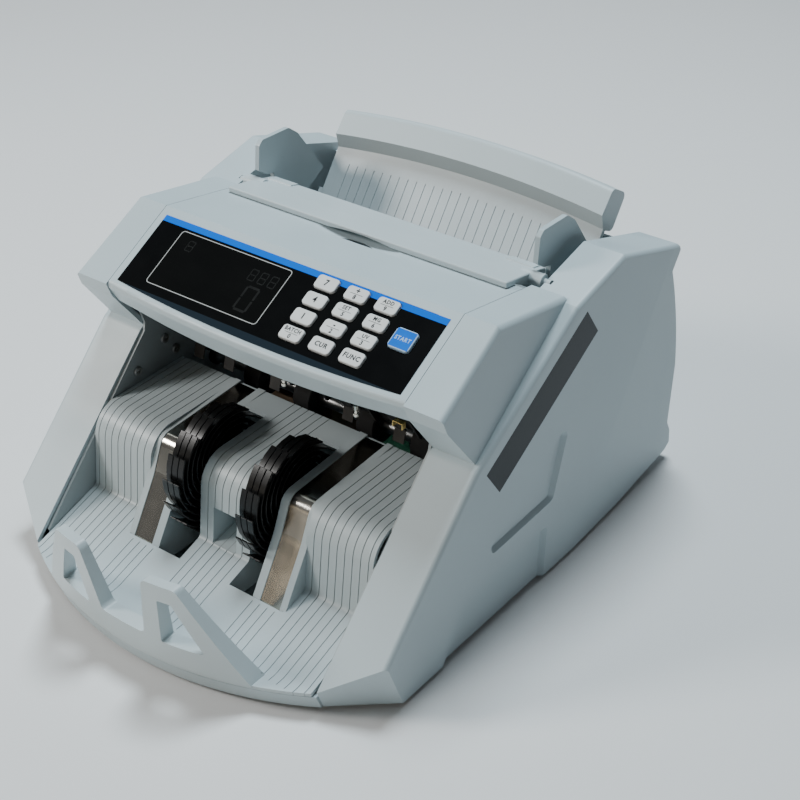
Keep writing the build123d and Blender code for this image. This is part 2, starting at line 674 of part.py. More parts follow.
# ================================================================= stacker
def block_outline():
    """Side profile of the stacker blocks: deck, rounded front and sloping floor."""
    outline = face_yz([
        (DECK[0] + TRAY_WALL, DECK[1]),
        (BLOCK_FACE_Y + 3.5, DECK[1] - 1.6),
        (BLOCK_FACE_Y - 1.8, BLOCK_FOOT_Z),
        (BLOCK_FACE_Y - 1.8 - (BLOCK_FOOT_Z - RIM_Z) / FLOOR_SLOPE, RIM_Z),
        (FRONT - 5.0, RIM_Z),
        (FRONT - 5.0, -60.0),
        (DECK[0] + TRAY_WALL, -60.0),
    ])
    corner, foot, toe = profile_corners(outline, [
        (BLOCK_FACE_Y + 3.5, DECK[1] - 1.6),
        (BLOCK_FACE_Y - 1.8, BLOCK_FOOT_Z),
        (BLOCK_FACE_Y - 1.8 - (BLOCK_FOOT_Z - RIM_Z) / FLOOR_SLOPE, RIM_Z),
    ])
    outline = fillet(corner, BLOCK_R)
    foot, toe = profile_corners(outline, [
        (BLOCK_FACE_Y - 1.8, BLOCK_FOOT_Z),
        (BLOCK_FACE_Y - 1.8 - (BLOCK_FOOT_Z - RIM_Z) / FLOOR_SLOPE, RIM_Z),
    ])
    outline = fillet(foot, 3.0)
    toe = profile_corners(outline, [
        (BLOCK_FACE_Y - 1.8 - (BLOCK_FOOT_Z - RIM_Z) / FLOOR_SLOPE, RIM_Z),
    ])
    return fillet(toe, 18.0)


def profile_corners(outline, places):
    """The outline's own vertices nearest to the given (y, z) places."""
    return [
        min(outline.vertices(), key=lambda v: math.hypot(v.X - y, v.Y - z)) for y, z in places
    ]


def rib_outline():
    """Side profile of the ribs beside the note plates."""
    nose = (BLOCK_FACE_Y + 9.0, DECK[1] - 3.2)
    chest = (BLOCK_FACE_Y + 0.5, DECK[1] - 23.0)
    foot = (RIB_FOOT_Y, BLOCK_FOOT_Z - (BLOCK_FACE_Y - 1.8 - RIB_FOOT_Y) * FLOOR_SLOPE - 1.0)
    outline = face_yz([
        (DECK[0] + TRAY_WALL, DECK[1] + 0.6),
        nose,
        chest,
        foot,
        (RIB_FOOT_Y, -60.0),
        (DECK[0] + TRAY_WALL, -60.0),
    ])
    outline = fillet(profile_corners(outline, [nose]), 9.0)
    return fillet(profile_corners(outline, [chest]), 30.0)


def fence():
    """Front fence: two towers with windows on a bowed, leaning wall."""
    low_r = RIM_R
    top_r = RIM_R + (FENCE_TOP - RIM_Z) * FENCE_LEAN
    wall = make_face(Polyline(
        (low_r - (RIM_Z - SKIRT_Z) * RIM_LEAN, SKIRT_Z),
        (low_r, RIM_Z),
        (top_r, FENCE_TOP),
        (top_r - FENCE_T_TOP, FENCE_TOP),
        (low_r - FENCE_T_LOW, RIM_Z),
        (low_r - FENCE_T_LOW, SKIRT_Z),
        close=True,
    ))
    ring = revolve(Plane.XZ * wall, Axis.Z, 360)
    ring = Pos(0, FENCE_AXIS_Y, 0) * ring
    tower = make_face(Polyline(
        (0, SKIRT_Z),
        (0, VALLEY[1]),
        VALLEY,
        (TOWER_TOP[0] - 1.4, FENCE_TOP),
        (TOWER_TOP[1], FENCE_TOP),
        (SLOPE_END, RIM_Z),
        (SLOPE_END, SKIRT_Z),
        close=True,
    ))
    tops = [v for v in tower.vertices() if v.Y > FENCE_TOP - 1]
    tower = fillet(tops, 4.0)
    dip = [v for v in tower.vertices() if abs(v.X - VALLEY[0]) < 0.1]
    tower = fillet(dip, 3.0)
    window = make_face(Polyline((24.4, 27.5), (48.4, 28.0), (35.6, 56.5), (27.7, 56.5), close=True))
    window = fillet(window.vertices(), 1.2)
    front = Plane.XZ.offset(-FRONT - 30.0) * (tower - window)
    half = extrude(front, amount=60.0)
    both = half + other_side(half)
    return ring & both


def stacker_tray():
    """Banknote pocket: two side blocks, a centre block, four ribs, the floor and the fence."""
    sheet = block_outline()
    sheet = sheet - inset(sheet, TRAY_WALL)
    rib = rib_outline()
    bed = inset(rib, NOTE_PLATE_SUNK + NOTE_PLATE_T)
    bed = bed - inset(bed, TRAY_WALL)
    under = DECK[1] - TRAY_WALL - 0.5 - IMPELLER_AT[1]
    slot_rear = IMPELLER_AT[0] + math.sqrt((IMPELLER_R + WHEEL_GAP) ** 2 - under ** 2)
    slot = block(SLOT_IN, SLOT_OUT, RIB_FOOT_Y, slot_rear, 0, HEIGHT)
    right = prism_x(sheet, 0, PLATE_IN) - slot
    right -= block(SLOT_OUT, HALF, RIB_FOOT_Y, DECK[0] + TRAY_WALL, 0, HEIGHT)
    right += prism_x(sheet, SLOT_OUT, TRAY_HALF) & block(SLOT_OUT, HALF, FRONT, RIB_FOOT_Y, 0, HEIGHT)
    right += prism_x(sheet, RIB_OUT - 1.0, TRAY_HALF)
    right += prism_x(rib, SLOT_OUT, PLATE_IN)
    right += prism_x(rib, PLATE_OUT, RIB_OUT)
    right += prism_x(bed, PLATE_IN, PLATE_OUT)
    right += prism_x(block_outline(), SLOT_IN - TRAY_WALL, SLOT_IN)
    pocket = [
        (BLOCK_FACE_Y - 9.0, BLOCK_FOOT_Z + 21.5),
        (BLOCK_FACE_Y, BLOCK_FOOT_Z + 21.5),
        (BLOCK_FACE_Y + 19.0, BLOCK_FOOT_Z + 5.0),
        (BLOCK_FACE_Y - 1.8, BLOCK_FOOT_Z + 0.2),
        (BLOCK_FACE_Y - 9.0, BLOCK_FOOT_Z - 1.0),
    ]
    niche = face_yz(pocket)
    liner = offset(niche, amount=1.6, kind=Kind.INTERSECTION)
    body = prism_x(block_outline(), 0, NICHE_HALF + 1.6)
    right += prism_x(liner, 0, NICHE_HALF + 1.6) & body
    right -= prism_x(niche, -1, NICHE_HALF)
    right &= block(-1, TRAY_HALF, FRONT - 5, DECK[0], SKIRT_Z, HEIGHT)
    rim = Pos(0, FENCE_AXIS_Y, 0) * Cone(
        RIM_R - (RIM_Z - SKIRT_Z) * RIM_LEAN, RIM_R + (100 - RIM_Z) * FENCE_LEAN, 100 - SKIRT_Z,
        align=(Align.CENTER, Align.CENTER, Align.MIN)).moved(Location((0, 0, SKIRT_Z)))
    right &= rim
    right -= rod_x(IMPELLER_AT, SHAFT_R + 1.5, -1, TRAY_HALF + 1)
    right -= Pos(0, LENS_AT[0], LENS_AT[1] - 10.0) * Cylinder(LENS_R + RUN_FIT, 20.0)
    line = block_outline()
    line = line - inset(line, GROOVE_D)
    window = block(0, HALF, FRONT + 27.0, DECK[0], SKIRT_Z, HEIGHT)
    cuts = []
    for i in range(8):
        x = RIB_OUT + 4.0 + i * GROOVE_PITCH
        cuts.append(prism_x(line, x - GROOVE_W / 2, x + GROOVE_W / 2) & window)
    for x in (2.4, 7.2, 12.0):
        cuts.append(prism_x(line, x - GROOVE_W / 2, x + GROOVE_W / 2) & window)
    floor_only = block(0, HALF, FRONT + 27.0, RIB_FOOT_Y - 2.0, SKIRT_Z, HEIGHT)
    for x in (34.5, 39.3, 44.1, 48.9):
        cuts.append(prism_x(line, x - GROOVE_W / 2, x + GROOVE_W / 2) & floor_only)
    right -= cuts
    tray = right + other_side(right)
    return tray + fence()


def note_plate():
    """Right-hand polished steel plate that the notes slide down."""
    outer = inset(rib_outline(), NOTE_PLATE_SUNK)
    plate = outer - inset(outer, NOTE_PLATE_T)
    keep = block(PLATE_IN + 0.2, PLATE_OUT - 0.2, RIB_FOOT_Y + 0.5, DECK[0] - 2.0, RIM_Z, HEIGHT)
    return prism_x(plate, PLATE_IN + 0.2, PLATE_OUT - 0.2) & keep


def sensor_lens():
    """Clear domed lens of the stacker's note sensor."""
    dome = Pos(0, LENS_AT[0], LENS_AT[1]) * Sphere(LENS_R)
    stub = Pos(0, LENS_AT[0], LENS_AT[1] - 4.0) * Cylinder(LENS_R, 8.0)
    return dome + stub


def impeller():
    """Right-hand stacking wheel: a hub with curved flexible fins."""
    middle = (SLOT_IN + SLOT_OUT) / 2
    tip = math.radians(-62.0)
    root = (IMPELLER_HUB_R - 2.0, 0.0)
    end = (IMPELLER_R * math.cos(tip), IMPELLER_R * math.sin(tip))
    belly = ((root[0] + end[0]) / 2 + 6.5, (root[1] + end[1]) / 2 + 3.0)
    back = (belly[0] - FIN_T * 0.8, belly[1] - FIN_T * 0.6)
    heel = (root[0] - FIN_T, root[1] - FIN_T)
    fin = make_face(ThreePointArc(root, belly, end) + ThreePointArc(end, back, heel) + Line(heel, root))
    start = middle - IMPELLER_W / 2
    wheel = extrude(Plane.YZ.offset(start) * Circle(IMPELLER_HUB_R), amount=IMPELLER_W)
    blade = extrude(Plane.YZ.offset(start) * fin, amount=IMPELLER_W)
    wheel += [Rot(360.0 / IMPELLER_FINS * i, 0, 0) * blade for i in range(IMPELLER_FINS)]
    wheel = Pos(0, IMPELLER_AT[0], IMPELLER_AT[1]) * wheel
    return wheel - rod_x(IMPELLER_AT, SHAFT_R, 0, HALF)


# ================================================================= base, frames and rear
def base_pan():
    """Bottom pan with the bowed front rim that carries the fence."""
    half = SEAM_X - SEAM_GAP
    rim_top = SKIRT_Z - SEAM_GAP
    low_r = RIM_R - (RIM_Z - FOOT_H) * RIM_LEAN
    top_r = RIM_R - (RIM_Z - rim_top) * RIM_LEAN
    rim = make_face(Polyline(
        (low_r, FOOT_H), (top_r, rim_top), (top_r - WALL, rim_top), (low_r - WALL, FOOT_H), close=True))
    rim = Pos(0, FENCE_AXIS_Y, 0) * revolve(Plane.XZ * rim, Axis.Z, 360)
    rim &= block(-half, half, FRONT, FENCE_AXIS_Y - 100.0, 0, HEIGHT)
    disc = Pos(0, FENCE_AXIS_Y, FOOT_H + PAN_T / 2) * Cylinder(low_r - 1.0, PAN_T)
    floor = disc & block(-half, half, FRONT, FENCE_AXIS_Y, 0, HEIGHT)
    floor += block(-half, half, FENCE_AXIS_Y - 60.0, REAR - 11.0, FOOT_H, FOOT_H + PAN_T)
    pan = rim + floor
    for x, y in foot_places():
        pan -= Pos(x, y, FOOT_H + PAN_T / 2) * Cylinder(3.0, 3 * PAN_T)
    for x, y in pan_screw_places():
        pan -= Pos(x, y, FOOT_H + PAN_T / 2) * Cylinder(1.6, 3 * PAN_T)
    return pan


def foot_places():
    """The four feet."""
    x = FRAME_X - 17.0
    return [(-x, FRONT + 62.0), (x, FRONT + 62.0), (-x, REAR - 42.0), (x, REAR - 42.0)]


def pan_screw_places():
    """Screws that hold the pan."""
    x = FRAME_X - 8.0
    return [(-x, FRONT + 90.0), (x, FRONT + 90.0), (-x, REAR - 62.0), (x, REAR - 62.0)]


def rubber_feet():
    """Four push-in rubber feet."""
    foot = Cylinder(FOOT_R, FOOT_H, align=(Align.CENTER, Align.CENTER, Align.MIN))
    foot += Pos(0, 0, FOOT_H) * Cylinder(3.0, PAN_T, align=(Align.CENTER, Align.CENTER, Align.MIN))
    return Compound(children=[Pos(x, y, 0) * foot for x, y in foot_places()])


def frame_outline():
    """Outline of a steel side frame, inside the covers all round."""
    lean = (KNEE[1] - LEG_FOOT[1]) / (KNEE[0] - LEG_FOOT[0])
    low_z = RIM_Z + 4.0
    toe_r = RIM_R - (RIM_Z - FOOT_H - PAN_T) * RIM_LEAN - WALL
    toe_y = FENCE_AXIS_Y - math.sqrt(toe_r ** 2 - FRAME_X ** 2) + FRAME_TOE
    return face_yz([
        (toe_y, FOOT_H + PAN_T),
        (toe_y - FRAME_TOE_RISE, SKIRT_Z),
        (LEG_FOOT[0] - (LEG_FOOT[1] - low_z) / lean + 4.0, low_z),
        (KNEE[0] + 1.5, KNEE[1] - 0.5),
        (KNEE[0] + 2.5, KNEE[1] + 4.0),
        (CONSOLE_Y + 16.0, CONSOLE_Z - 12.0),
        (CONSOLE_TOP_Y - 4.0, CONSOLE_TOP_Z - 9.0),
        (LID_FRONT_Y, deck_z(LID_FRONT_Y) - 7.5),
        (LID_PIN_Y - 6.0, LID_PIN_Z - 8.5),
        (RAIL_AT[0] - 8.0, RAIL_AT[1] + 4.5),
        (RAIL_AT[0] + 7.0, RAIL_AT[1] + 4.5),
        (RAIL_AT[0] + 13.0, RAIL_AT[1] - 20.0),
        (PICKUP_AT[0] + 14.0, RAIL_AT[1] - 24.0),
        (rear_wall_y(HEIGHT - 84.0) - WALL - FRAME_GAP, HEIGHT - 84.0),
        (REAR - 24.5, FOOT_H + PAN_T),
    ])


def shaft_ends():
    """Running shafts: (y, z) and radius."""
    return [
        (IMPELLER_AT, SHAFT_R), (TRANSPORT_AT, SHAFT_R), (PINCH_AT, SHAFT_R - 1.0),
        (FEED_AT, SHAFT_R + 1.0), (PICKUP_AT, SHAFT_R),
    ]


def tie_bar_places():
    """Places of the tie bars between the frames."""
    return [
        (DECK[0] + 9.0, FOOT_H + 20.0),
        (PICKUP_AT[0] + PICKUP_R + TIE_BAR_R + 0.4, PICKUP_AT[1] + 2.9),
        (REAR - 30.0, HEIGHT - 96.0),
    ]


def wall_screw_places():
    """Screws seen on the inner face of each frame."""
    return [(DECK[0] - 12.2, DECK[1] + 17.0), (DECK[0] - 4.5, DECK[1] + 7.0), (DECK[0] - 33.9, DECK[1] + 6.4)]


def side_frame():
    """Right-hand steel side frame with the bearing holes."""
    frame = prism_x(frame_outline(), FRAME_X - FRAME_T, FRAME_X)
    holes = [rod_x(at, BUSH_R, FRAME_X - 5, FRAME_X + 5) for at, _ in shaft_ends()]
    holes += [rod_x(at, 1.5, FRAME_X - 5, FRAME_X + 5) for at in wall_screw_places()]
    holes.append(rod_x(RAIL_AT, RAIL_R, FRAME_X - 5, FRAME_X + 5))
    holes.append(rod_x(RETARD_AT, SHAFT_R - 1.0, FRAME_X - 5, FRAME_X + 5))
    holes.append(rod_x((MOTOR_AT[0], MOTOR_AT[1]), 6.0, FRAME_X - 5, FRAME_X + 5))
    return frame - holes


def tie_bars():
    """Round spacers between the two frames."""
    half = FRAME_X - FRAME_T
    return Compound(children=[rod_x(at, TIE_BAR_R, -half, half) for at in tie_bar_places()])


def shaft_bushes():
    """Plastic bushes in both frames for every running shaft."""
    rings = []
    for at, radius in shaft_ends():
        ring = rod_x(at, BUSH_R, FRAME_X - BUSH_L, FRAME_X) - rod_x(at, radius + RUN_FIT, 0, HALF)
        rings += [ring, other_side(ring)]
    return Compound(children=rings)


def case_screws():
    """Cross-head screws on the frames' inner faces and under the pan."""
    pieces = []
    for at in wall_screw_places():
        head = rod_x(at, 2.7, FRAME_X - FRAME_T - 1.3, FRAME_X - FRAME_T)
        head = fillet(head.faces().sort_by(Axis.X)[0].edges(), 0.6)
        screw = head + rod_x(at, 1.5, FRAME_X - FRAME_T, FRAME_X)
        screw -= Pos(FRAME_X - FRAME_T - 1.3, at[0], at[1]) * (Box(1.2, 2.6, 0.6) + Box(1.2, 0.6, 2.6))
        pieces += [screw, other_side(screw)]
    for x, y in pan_screw_places():
        head = Pos(x, y, FOOT_H + PAN_T + 0.8) * Cylinder(2.8, 1.6)
        pieces.append(head + Pos(x, y, FOOT_H + PAN_T / 2) * Cylinder(1.6, PAN_T))
    return Compound(children=pieces)


def rear_wall_y(z):
    """Outer face of the rear cover's leaning part at a height."""
    start = REAR_ROW_Z + 24.0
    return FLAT_Y - (z - start) * (FLAT_Y - REAR_NOTCH[0] + 5.0) / (REAR_NOTCH[1] - start)


def rear_outline():
    """Outer line of the rear cover, closed well inside the machine."""
    edge = Polyline(
        (REAR - 90.0, FOOT_H),
        (REAR - 22.0, FOOT_H),
        (FLAT_Y + 2.5, FOOT_H + 5.5),
        (FLAT_Y, FOOT_H + 15.0),
        (FLAT_Y, REAR_ROW_Z + 24.0),
        (REAR_NOTCH[0] - 5.0, REAR_NOTCH[1]),
        (HEAD_PT[0] + 7.0, HEAD_PT[1] - 11.0),
        (REAR - 90.0, HEAD_PT[1] - 11.0),
        close=True,
    )
    return make_face(edge)


def rear_cover():
    """Rear panel with the openings for inlet, socket and adjusting screw."""
    half = HUMP_X - SEAM_GAP
    outline = rear_outline()
    shell = outline - inset(outline, WALL)
    cover = prism_x(shell, -half, half)
    cover &= block(-HALF, HALF, REAR - 40.0, REAR, FOOT_H + PAN_T + SEAM_GAP + 1.0, HEAD_PT[1] - 11.0 - WALL)
    y0, y1 = REAR - 30.0, REAR
    cover -= block(INLET_X - 14.3, INLET_X + 14.3, y0, y1, REAR_ROW_Z - 10.3, REAR_ROW_Z + 10.3)
    cover -= block(SWITCH_X - 9.3, SWITCH_X + 9.3, y0, y1, REAR_ROW_Z - 13.3, REAR_ROW_Z + 13.3)
    cover -= block(SOCKET_X - 8.0, SOCKET_X + 8.0, y0, y1, REAR_ROW_Z - 7.0, REAR_ROW_Z + 7.0)
    cover -= Pos(KNOB_X, REAR - 20.0, KNOB_Z) * Rot(90, 0, 0) * Cylinder(3.0 + SLIDE_GAP, 60)
    slots = []
    for i in range(9):
        x = INLET_X + 4.0 + i * 14.0
        slots.append(Pos(x, REAR - 10, REAR_ROW_Z + 32.0) * Box(8.0, 40, 2.4))
        slots.append(Pos(x, REAR - 10, REAR_ROW_Z + 38.0) * Box(8.0, 40, 2.4))
    return cover - slots


def power_inlet():
    """Mains inlet and the housing of the power switch beside it."""
    z0, z1 = REAR_ROW_Z - 10.0, REAR_ROW_Z + 10.0
    body = block(INLET_X - 14.0, INLET_X + 14.0, FLAT_Y - 18.0, FLAT_Y, z0, z1)
    body += block(INLET_X - 17.0, INLET_X + 17.0, FLAT_Y, FLAT_Y + 2.0, z0 - 4.0, z1 + 4.0)
    well = block(INLET_X - 12.0, INLET_X + 12.0, FLAT_Y - 14.0, FLAT_Y + 3.0, z0 + 2.0, z1 - 2.0)
    body -= well
    for dx, dz in ((-7.0, -2.0), (7.0, -2.0), (0.0, 2.5)):
        body += block(
            INLET_X + dx - 1.0, INLET_X + dx + 1.0, FLAT_Y - 15.0, FLAT_Y - 3.0,
            REAR_ROW_Z + dz - 2.0, REAR_ROW_Z + dz + 2.0)
    case = block(SWITCH_X - 9.0, SWITCH_X + 9.0, FLAT_Y - 16.0, FLAT_Y, REAR_ROW_Z - 13.0, REAR_ROW_Z + 13.0)
    case += block(
        SWITCH_X - 11.0, SWITCH_X + 11.0, FLAT_Y, FLAT_Y + 1.6, REAR_ROW_Z - 15.0, REAR_ROW_Z + 15.0)
    case -= block(
        SWITCH_X - 7.0, SWITCH_X + 7.0, FLAT_Y - 12.0, FLAT_Y + 3.0, REAR_ROW_Z - 11.0, REAR_ROW_Z + 11.0)
    case -= rod_x(ROCKER_AT, 1.5 + RUN_FIT, SWITCH_X - 8.0, SWITCH_X + 8.0)
    return Compound(children=[body, case])


def switch_rocker():
    """Rocker of the power switch, at rest tipped to off."""
    y, z = ROCKER_AT
    outline = face_yz([
        (y - 4.0, z - 4.0), (y + 2.0, z - 10.0), (y + 6.4, z - 9.6), (y + 3.8, z),
        (y + 6.4, z + 9.6), (y + 2.0, z + 10.0), (y - 4.0, z + 4.0),
    ])
    rocker = prism_x(outline, SWITCH_X - 6.5, SWITCH_X + 6.5)
    rocker += rod_x(ROCKER_AT, 1.5, SWITCH_X - 7.8, SWITCH_X + 7.8)
    pivot = Axis((0, y, z), (1, 0, 0))
    return rocker.rotate(pivot, -ROCKER_DEG)


def display_socket():
    """Socket for an outside customer display."""
    body = block(
        SOCKET_X - 7.8, SOCKET_X + 7.8, FLAT_Y - 14.0, FLAT_Y + 0.6, REAR_ROW_Z - 6.8, REAR_ROW_Z + 6.8)
    body -= block(
        SOCKET_X - 5.5, SOCKET_X + 5.5, FLAT_Y - 11.0, FLAT_Y + 1.0, REAR_ROW_Z - 4.0, REAR_ROW_Z + 4.0)
    body -= block(SOCKET_X - 2.5, SOCKET_X + 2.5, FLAT_Y - 11.0, FLAT_Y + 1.0, REAR_ROW_Z - 5.4, REAR_ROW_Z)
    return body


def gap_knob():
    """Knurled knob and screw that set the feed gap."""
    turn = Rot(-90, 0, 0)
    grip = Cylinder(KNOB_R, 8.0)
    for i in range(18):
        grip -= Rot(0, 0, 20.0 * i) * Pos(KNOB_R, 0, 0) * Cylinder(0.8, 9.0)
    grip = Pos(KNOB_X, FLAT_Y + 1.0, KNOB_Z) * turn * grip
    screw = Pos(KNOB_X, FLAT_Y - 12.0, KNOB_Z) * turn * Cylinder(3.0, 24.0)
    return grip + screw


# ================================================================= drive
def shaft(at, radius, pulleys):
    """Steel shaft between the frames with its pulleys: (x from, x to, radius)."""
    bar = rod_x(at, radius, -FRAME_X, FRAME_X)
    for x0, x1, r in pulleys:
        bar += rod_x(at, r, x0, x1)
        bar += rod_x(at, r + FLANGE, x0 - FLANGE_T, x0)
        bar += rod_x(at, r + FLANGE, x1, x1 + FLANGE_T)
    return bar


def rollers(at, radius, bore, centres, width):
    """Row of rubber rollers on one shaft."""
    wheels = []
    for x in centres:
        wheel = rod_x(at, radius, x - width / 2, x + width / 2)
        wheel = chamfer(wheel.edges().filter_by(GeomType.CIRCLE), 0.6)
        wheels.append(wheel - rod_x(at, bore, x - width, x + width))
    return Compound(children=wheels)


def belt(at1, r1, at2, r2, lane):
    """Closed flat belt round two pulleys, a hair clear of both."""
    ring = loop(at1, r1 + BELT_GAP + BELT_T, at2, r2 + BELT_GAP + BELT_T)
    ring -= loop(at1, r1 + BELT_GAP, at2, r2 + BELT_GAP)
    middle = (lane[0] + lane[1]) / 2
    return prism_x(ring, middle - BELT_W / 2, middle + BELT_W / 2)


def loop(at1, r1, at2, r2):
    """Area inside a tight loop round two circles."""
    dy, dz = at2[0] - at1[0], at2[1] - at1[1]
    gap = math.hypot(dy, dz)
    base = math.atan2(dz, dy)
    lean = math.acos((r1 - r2) / gap)
    corners = []
    for at, r, side in ((at1, r1, 1), (at2, r2, 1), (at2, r2, -1), (at1, r1, -1)):
        angle = base + side * lean
        corners.append((at[0] + r * math.cos(angle), at[1] + r * math.sin(angle)))
    area = face_yz(corners)
    area += Pos(at1[0], at1[1]) * Circle(r1)
    area += Pos(at2[0], at2[1]) * Circle(r2)
    return area


def drive_belts():
    """The four belts: motor to feed, feed to transport, transport to stacker, feed to pickup."""
    return Compound(children=[
        belt(MOTOR_AT, MOTOR_PULLEY_R, FEED_AT, FEED_PULLEY_R, LANE_A),
        belt(FEED_AT, FEED_DRIVE_R, TRANSPORT_AT, TRANSPORT_PULLEY_R, LANE_B),
        belt(TRANSPORT_AT, STACK_SMALL_R, IMPELLER_AT, STACK_LARGE_R, LANE_A),
        belt(FEED_AT, PICKUP_PULLEY_R, PICKUP_AT, PICKUP_PULLEY_R, LANE_C),
    ])


def main_motor():
    """Drive motor with its end boss and mounting foot."""
    x0, x1 = MOTOR_X
    can = rod_x(MOTOR_AT, MOTOR_R, x0, x1)
    can = fillet(can.edges().filter_by(GeomType.CIRCLE), 2.0)
    boss = rod_x(MOTOR_AT, 9.0, x1, x1 + 4.0)
    foot = block(
        x0 + 8, x1 - 8, MOTOR_AT[0] - 14, MOTOR_AT[0] + 14, FOOT_H + PAN_T, MOTOR_AT[1] - MOTOR_R + 3)
    motor = can + boss + foot
    return motor - rod_x(MOTOR_AT, SHAFT_R - 1.0 + RUN_FIT, x1 - 12, x1 + 10)


def motor_pulley():
    """Motor shaft end with its pulley."""
    bar = shaft(MOTOR_AT, SHAFT_R - 1.0, [(*LANE_A, MOTOR_PULLEY_R)])
    return bar & block(MOTOR_X[1] - 11.0, LANE_A[1] + 2.0, FRONT, REAR, 0, HEIGHT)


def main_board():
    """Control board on posts, with its larger parts."""
    x0, x1 = -14.0, FRAME_X - 14.0
    y0, y1 = DECK[0] + 17.0, MOTOR_AT[0] - MOTOR_R - 4.0
    z = FOOT_H + PAN_T + 8.0
    board = block(x0, x1, y0, y1, z, z + BOARD_T)
    for x in (x0 + 5, x1 - 5):
        for y in (y0 + 5, y1 - 5):
            board += Pos(x, y, FOOT_H + PAN_T + 4.0) * Cylinder(2.5, 8.0)
    top = z + BOARD_T
    for dx, dy, w, l, h in (
            (20, 25, 22, 22, 3), (50, 20, 14, 14, 3), (20, 60, 30, 10, 14), (60, 62, 24, 8, 20)):
        board += block(x0 + dx, x0 + dx + w, y0 + dy, y0 + dy + l, top, top + h)
    for i in range(4):
        board += Pos(x0 + 14 + i * 12, y0 + 12, top + 6.0) * Cylinder(4.0, 12.0)
    return board


def transformer():
    """Mains transformer: a laminated core with its winding."""
    x0, x1 = -FRAME_X + 14.0, -FRAME_X + 70.0
    y0, y1 = DECK[0] + 35.0, DECK[0] + 83.0
    z = FOOT_H + PAN_T
    core = block(x0, x1, y0 + 12, y1 - 12, z, z + 44.0)
    coil = block(x0 + 10, x1 - 10, y0, y1, z + 9.0, z + 36.0)
    coil = fillet(coil.edges().filter_by(Axis.Z), 4.0)
    strap = block(x0 - 6, x1 + 6, y0 + 16, y1 - 16, z, z + 2.0)
    return core + coil + strap


def upper_guide():
    """Black chute wall that closes the throat behind the stacker pocket."""
    y, z = DECK
    outline = face_yz([
        (y - 9.0, CONSOLE_Z - 12.0),
        (y - 9.0, z + 30.0),
        (y + 3.0, z + 12.0),
        (y + 13.0, z + 10.0),
        (y + 13.0, z + 12.0),
        (y + 4.0, z + 14.0),
        (y - 7.0, z + 31.0),
        (y - 7.0, CONSOLE_Z - 12.0),
    ])
    half = TRAY_HALF - 0.5
    guide = prism_x(outline, -half, half)
    for x in (-72.0, -44.0, -12.0, 12.0, 44.0, 72.0):
        guide += prism_x(face_yz([
            (y - 9.5, z + 32.0), (y + 2.6, z + 12.6), (y - 2.0, z + 12.6), (y - 12.5, z + 30.0),
        ]), x - 0.8, x + 0.8)
    return guide


def exit_springs():
    """Small steel fingers that press the notes down as they leave the throat."""
    y, z = DECK
    finger = face_yz([
        (y - 9.6, z + 29.5), (y + 1.8, z + 12.3), (y - 0.5, z + 5.0), (y - 1.1, z + 5.2),
        (y + 1.0, z + 12.3), (y - 10.2, z + 29.2),
    ])
    strips = []
    for x in (-80.0, -58.0, -25.0, 25.0, 58.0, 80.0):
        strips.append(Pos(0, -0.45, -0.3) * prism_x(finger, x - 3.5, x + 3.5))
    return Compound(children=strips)


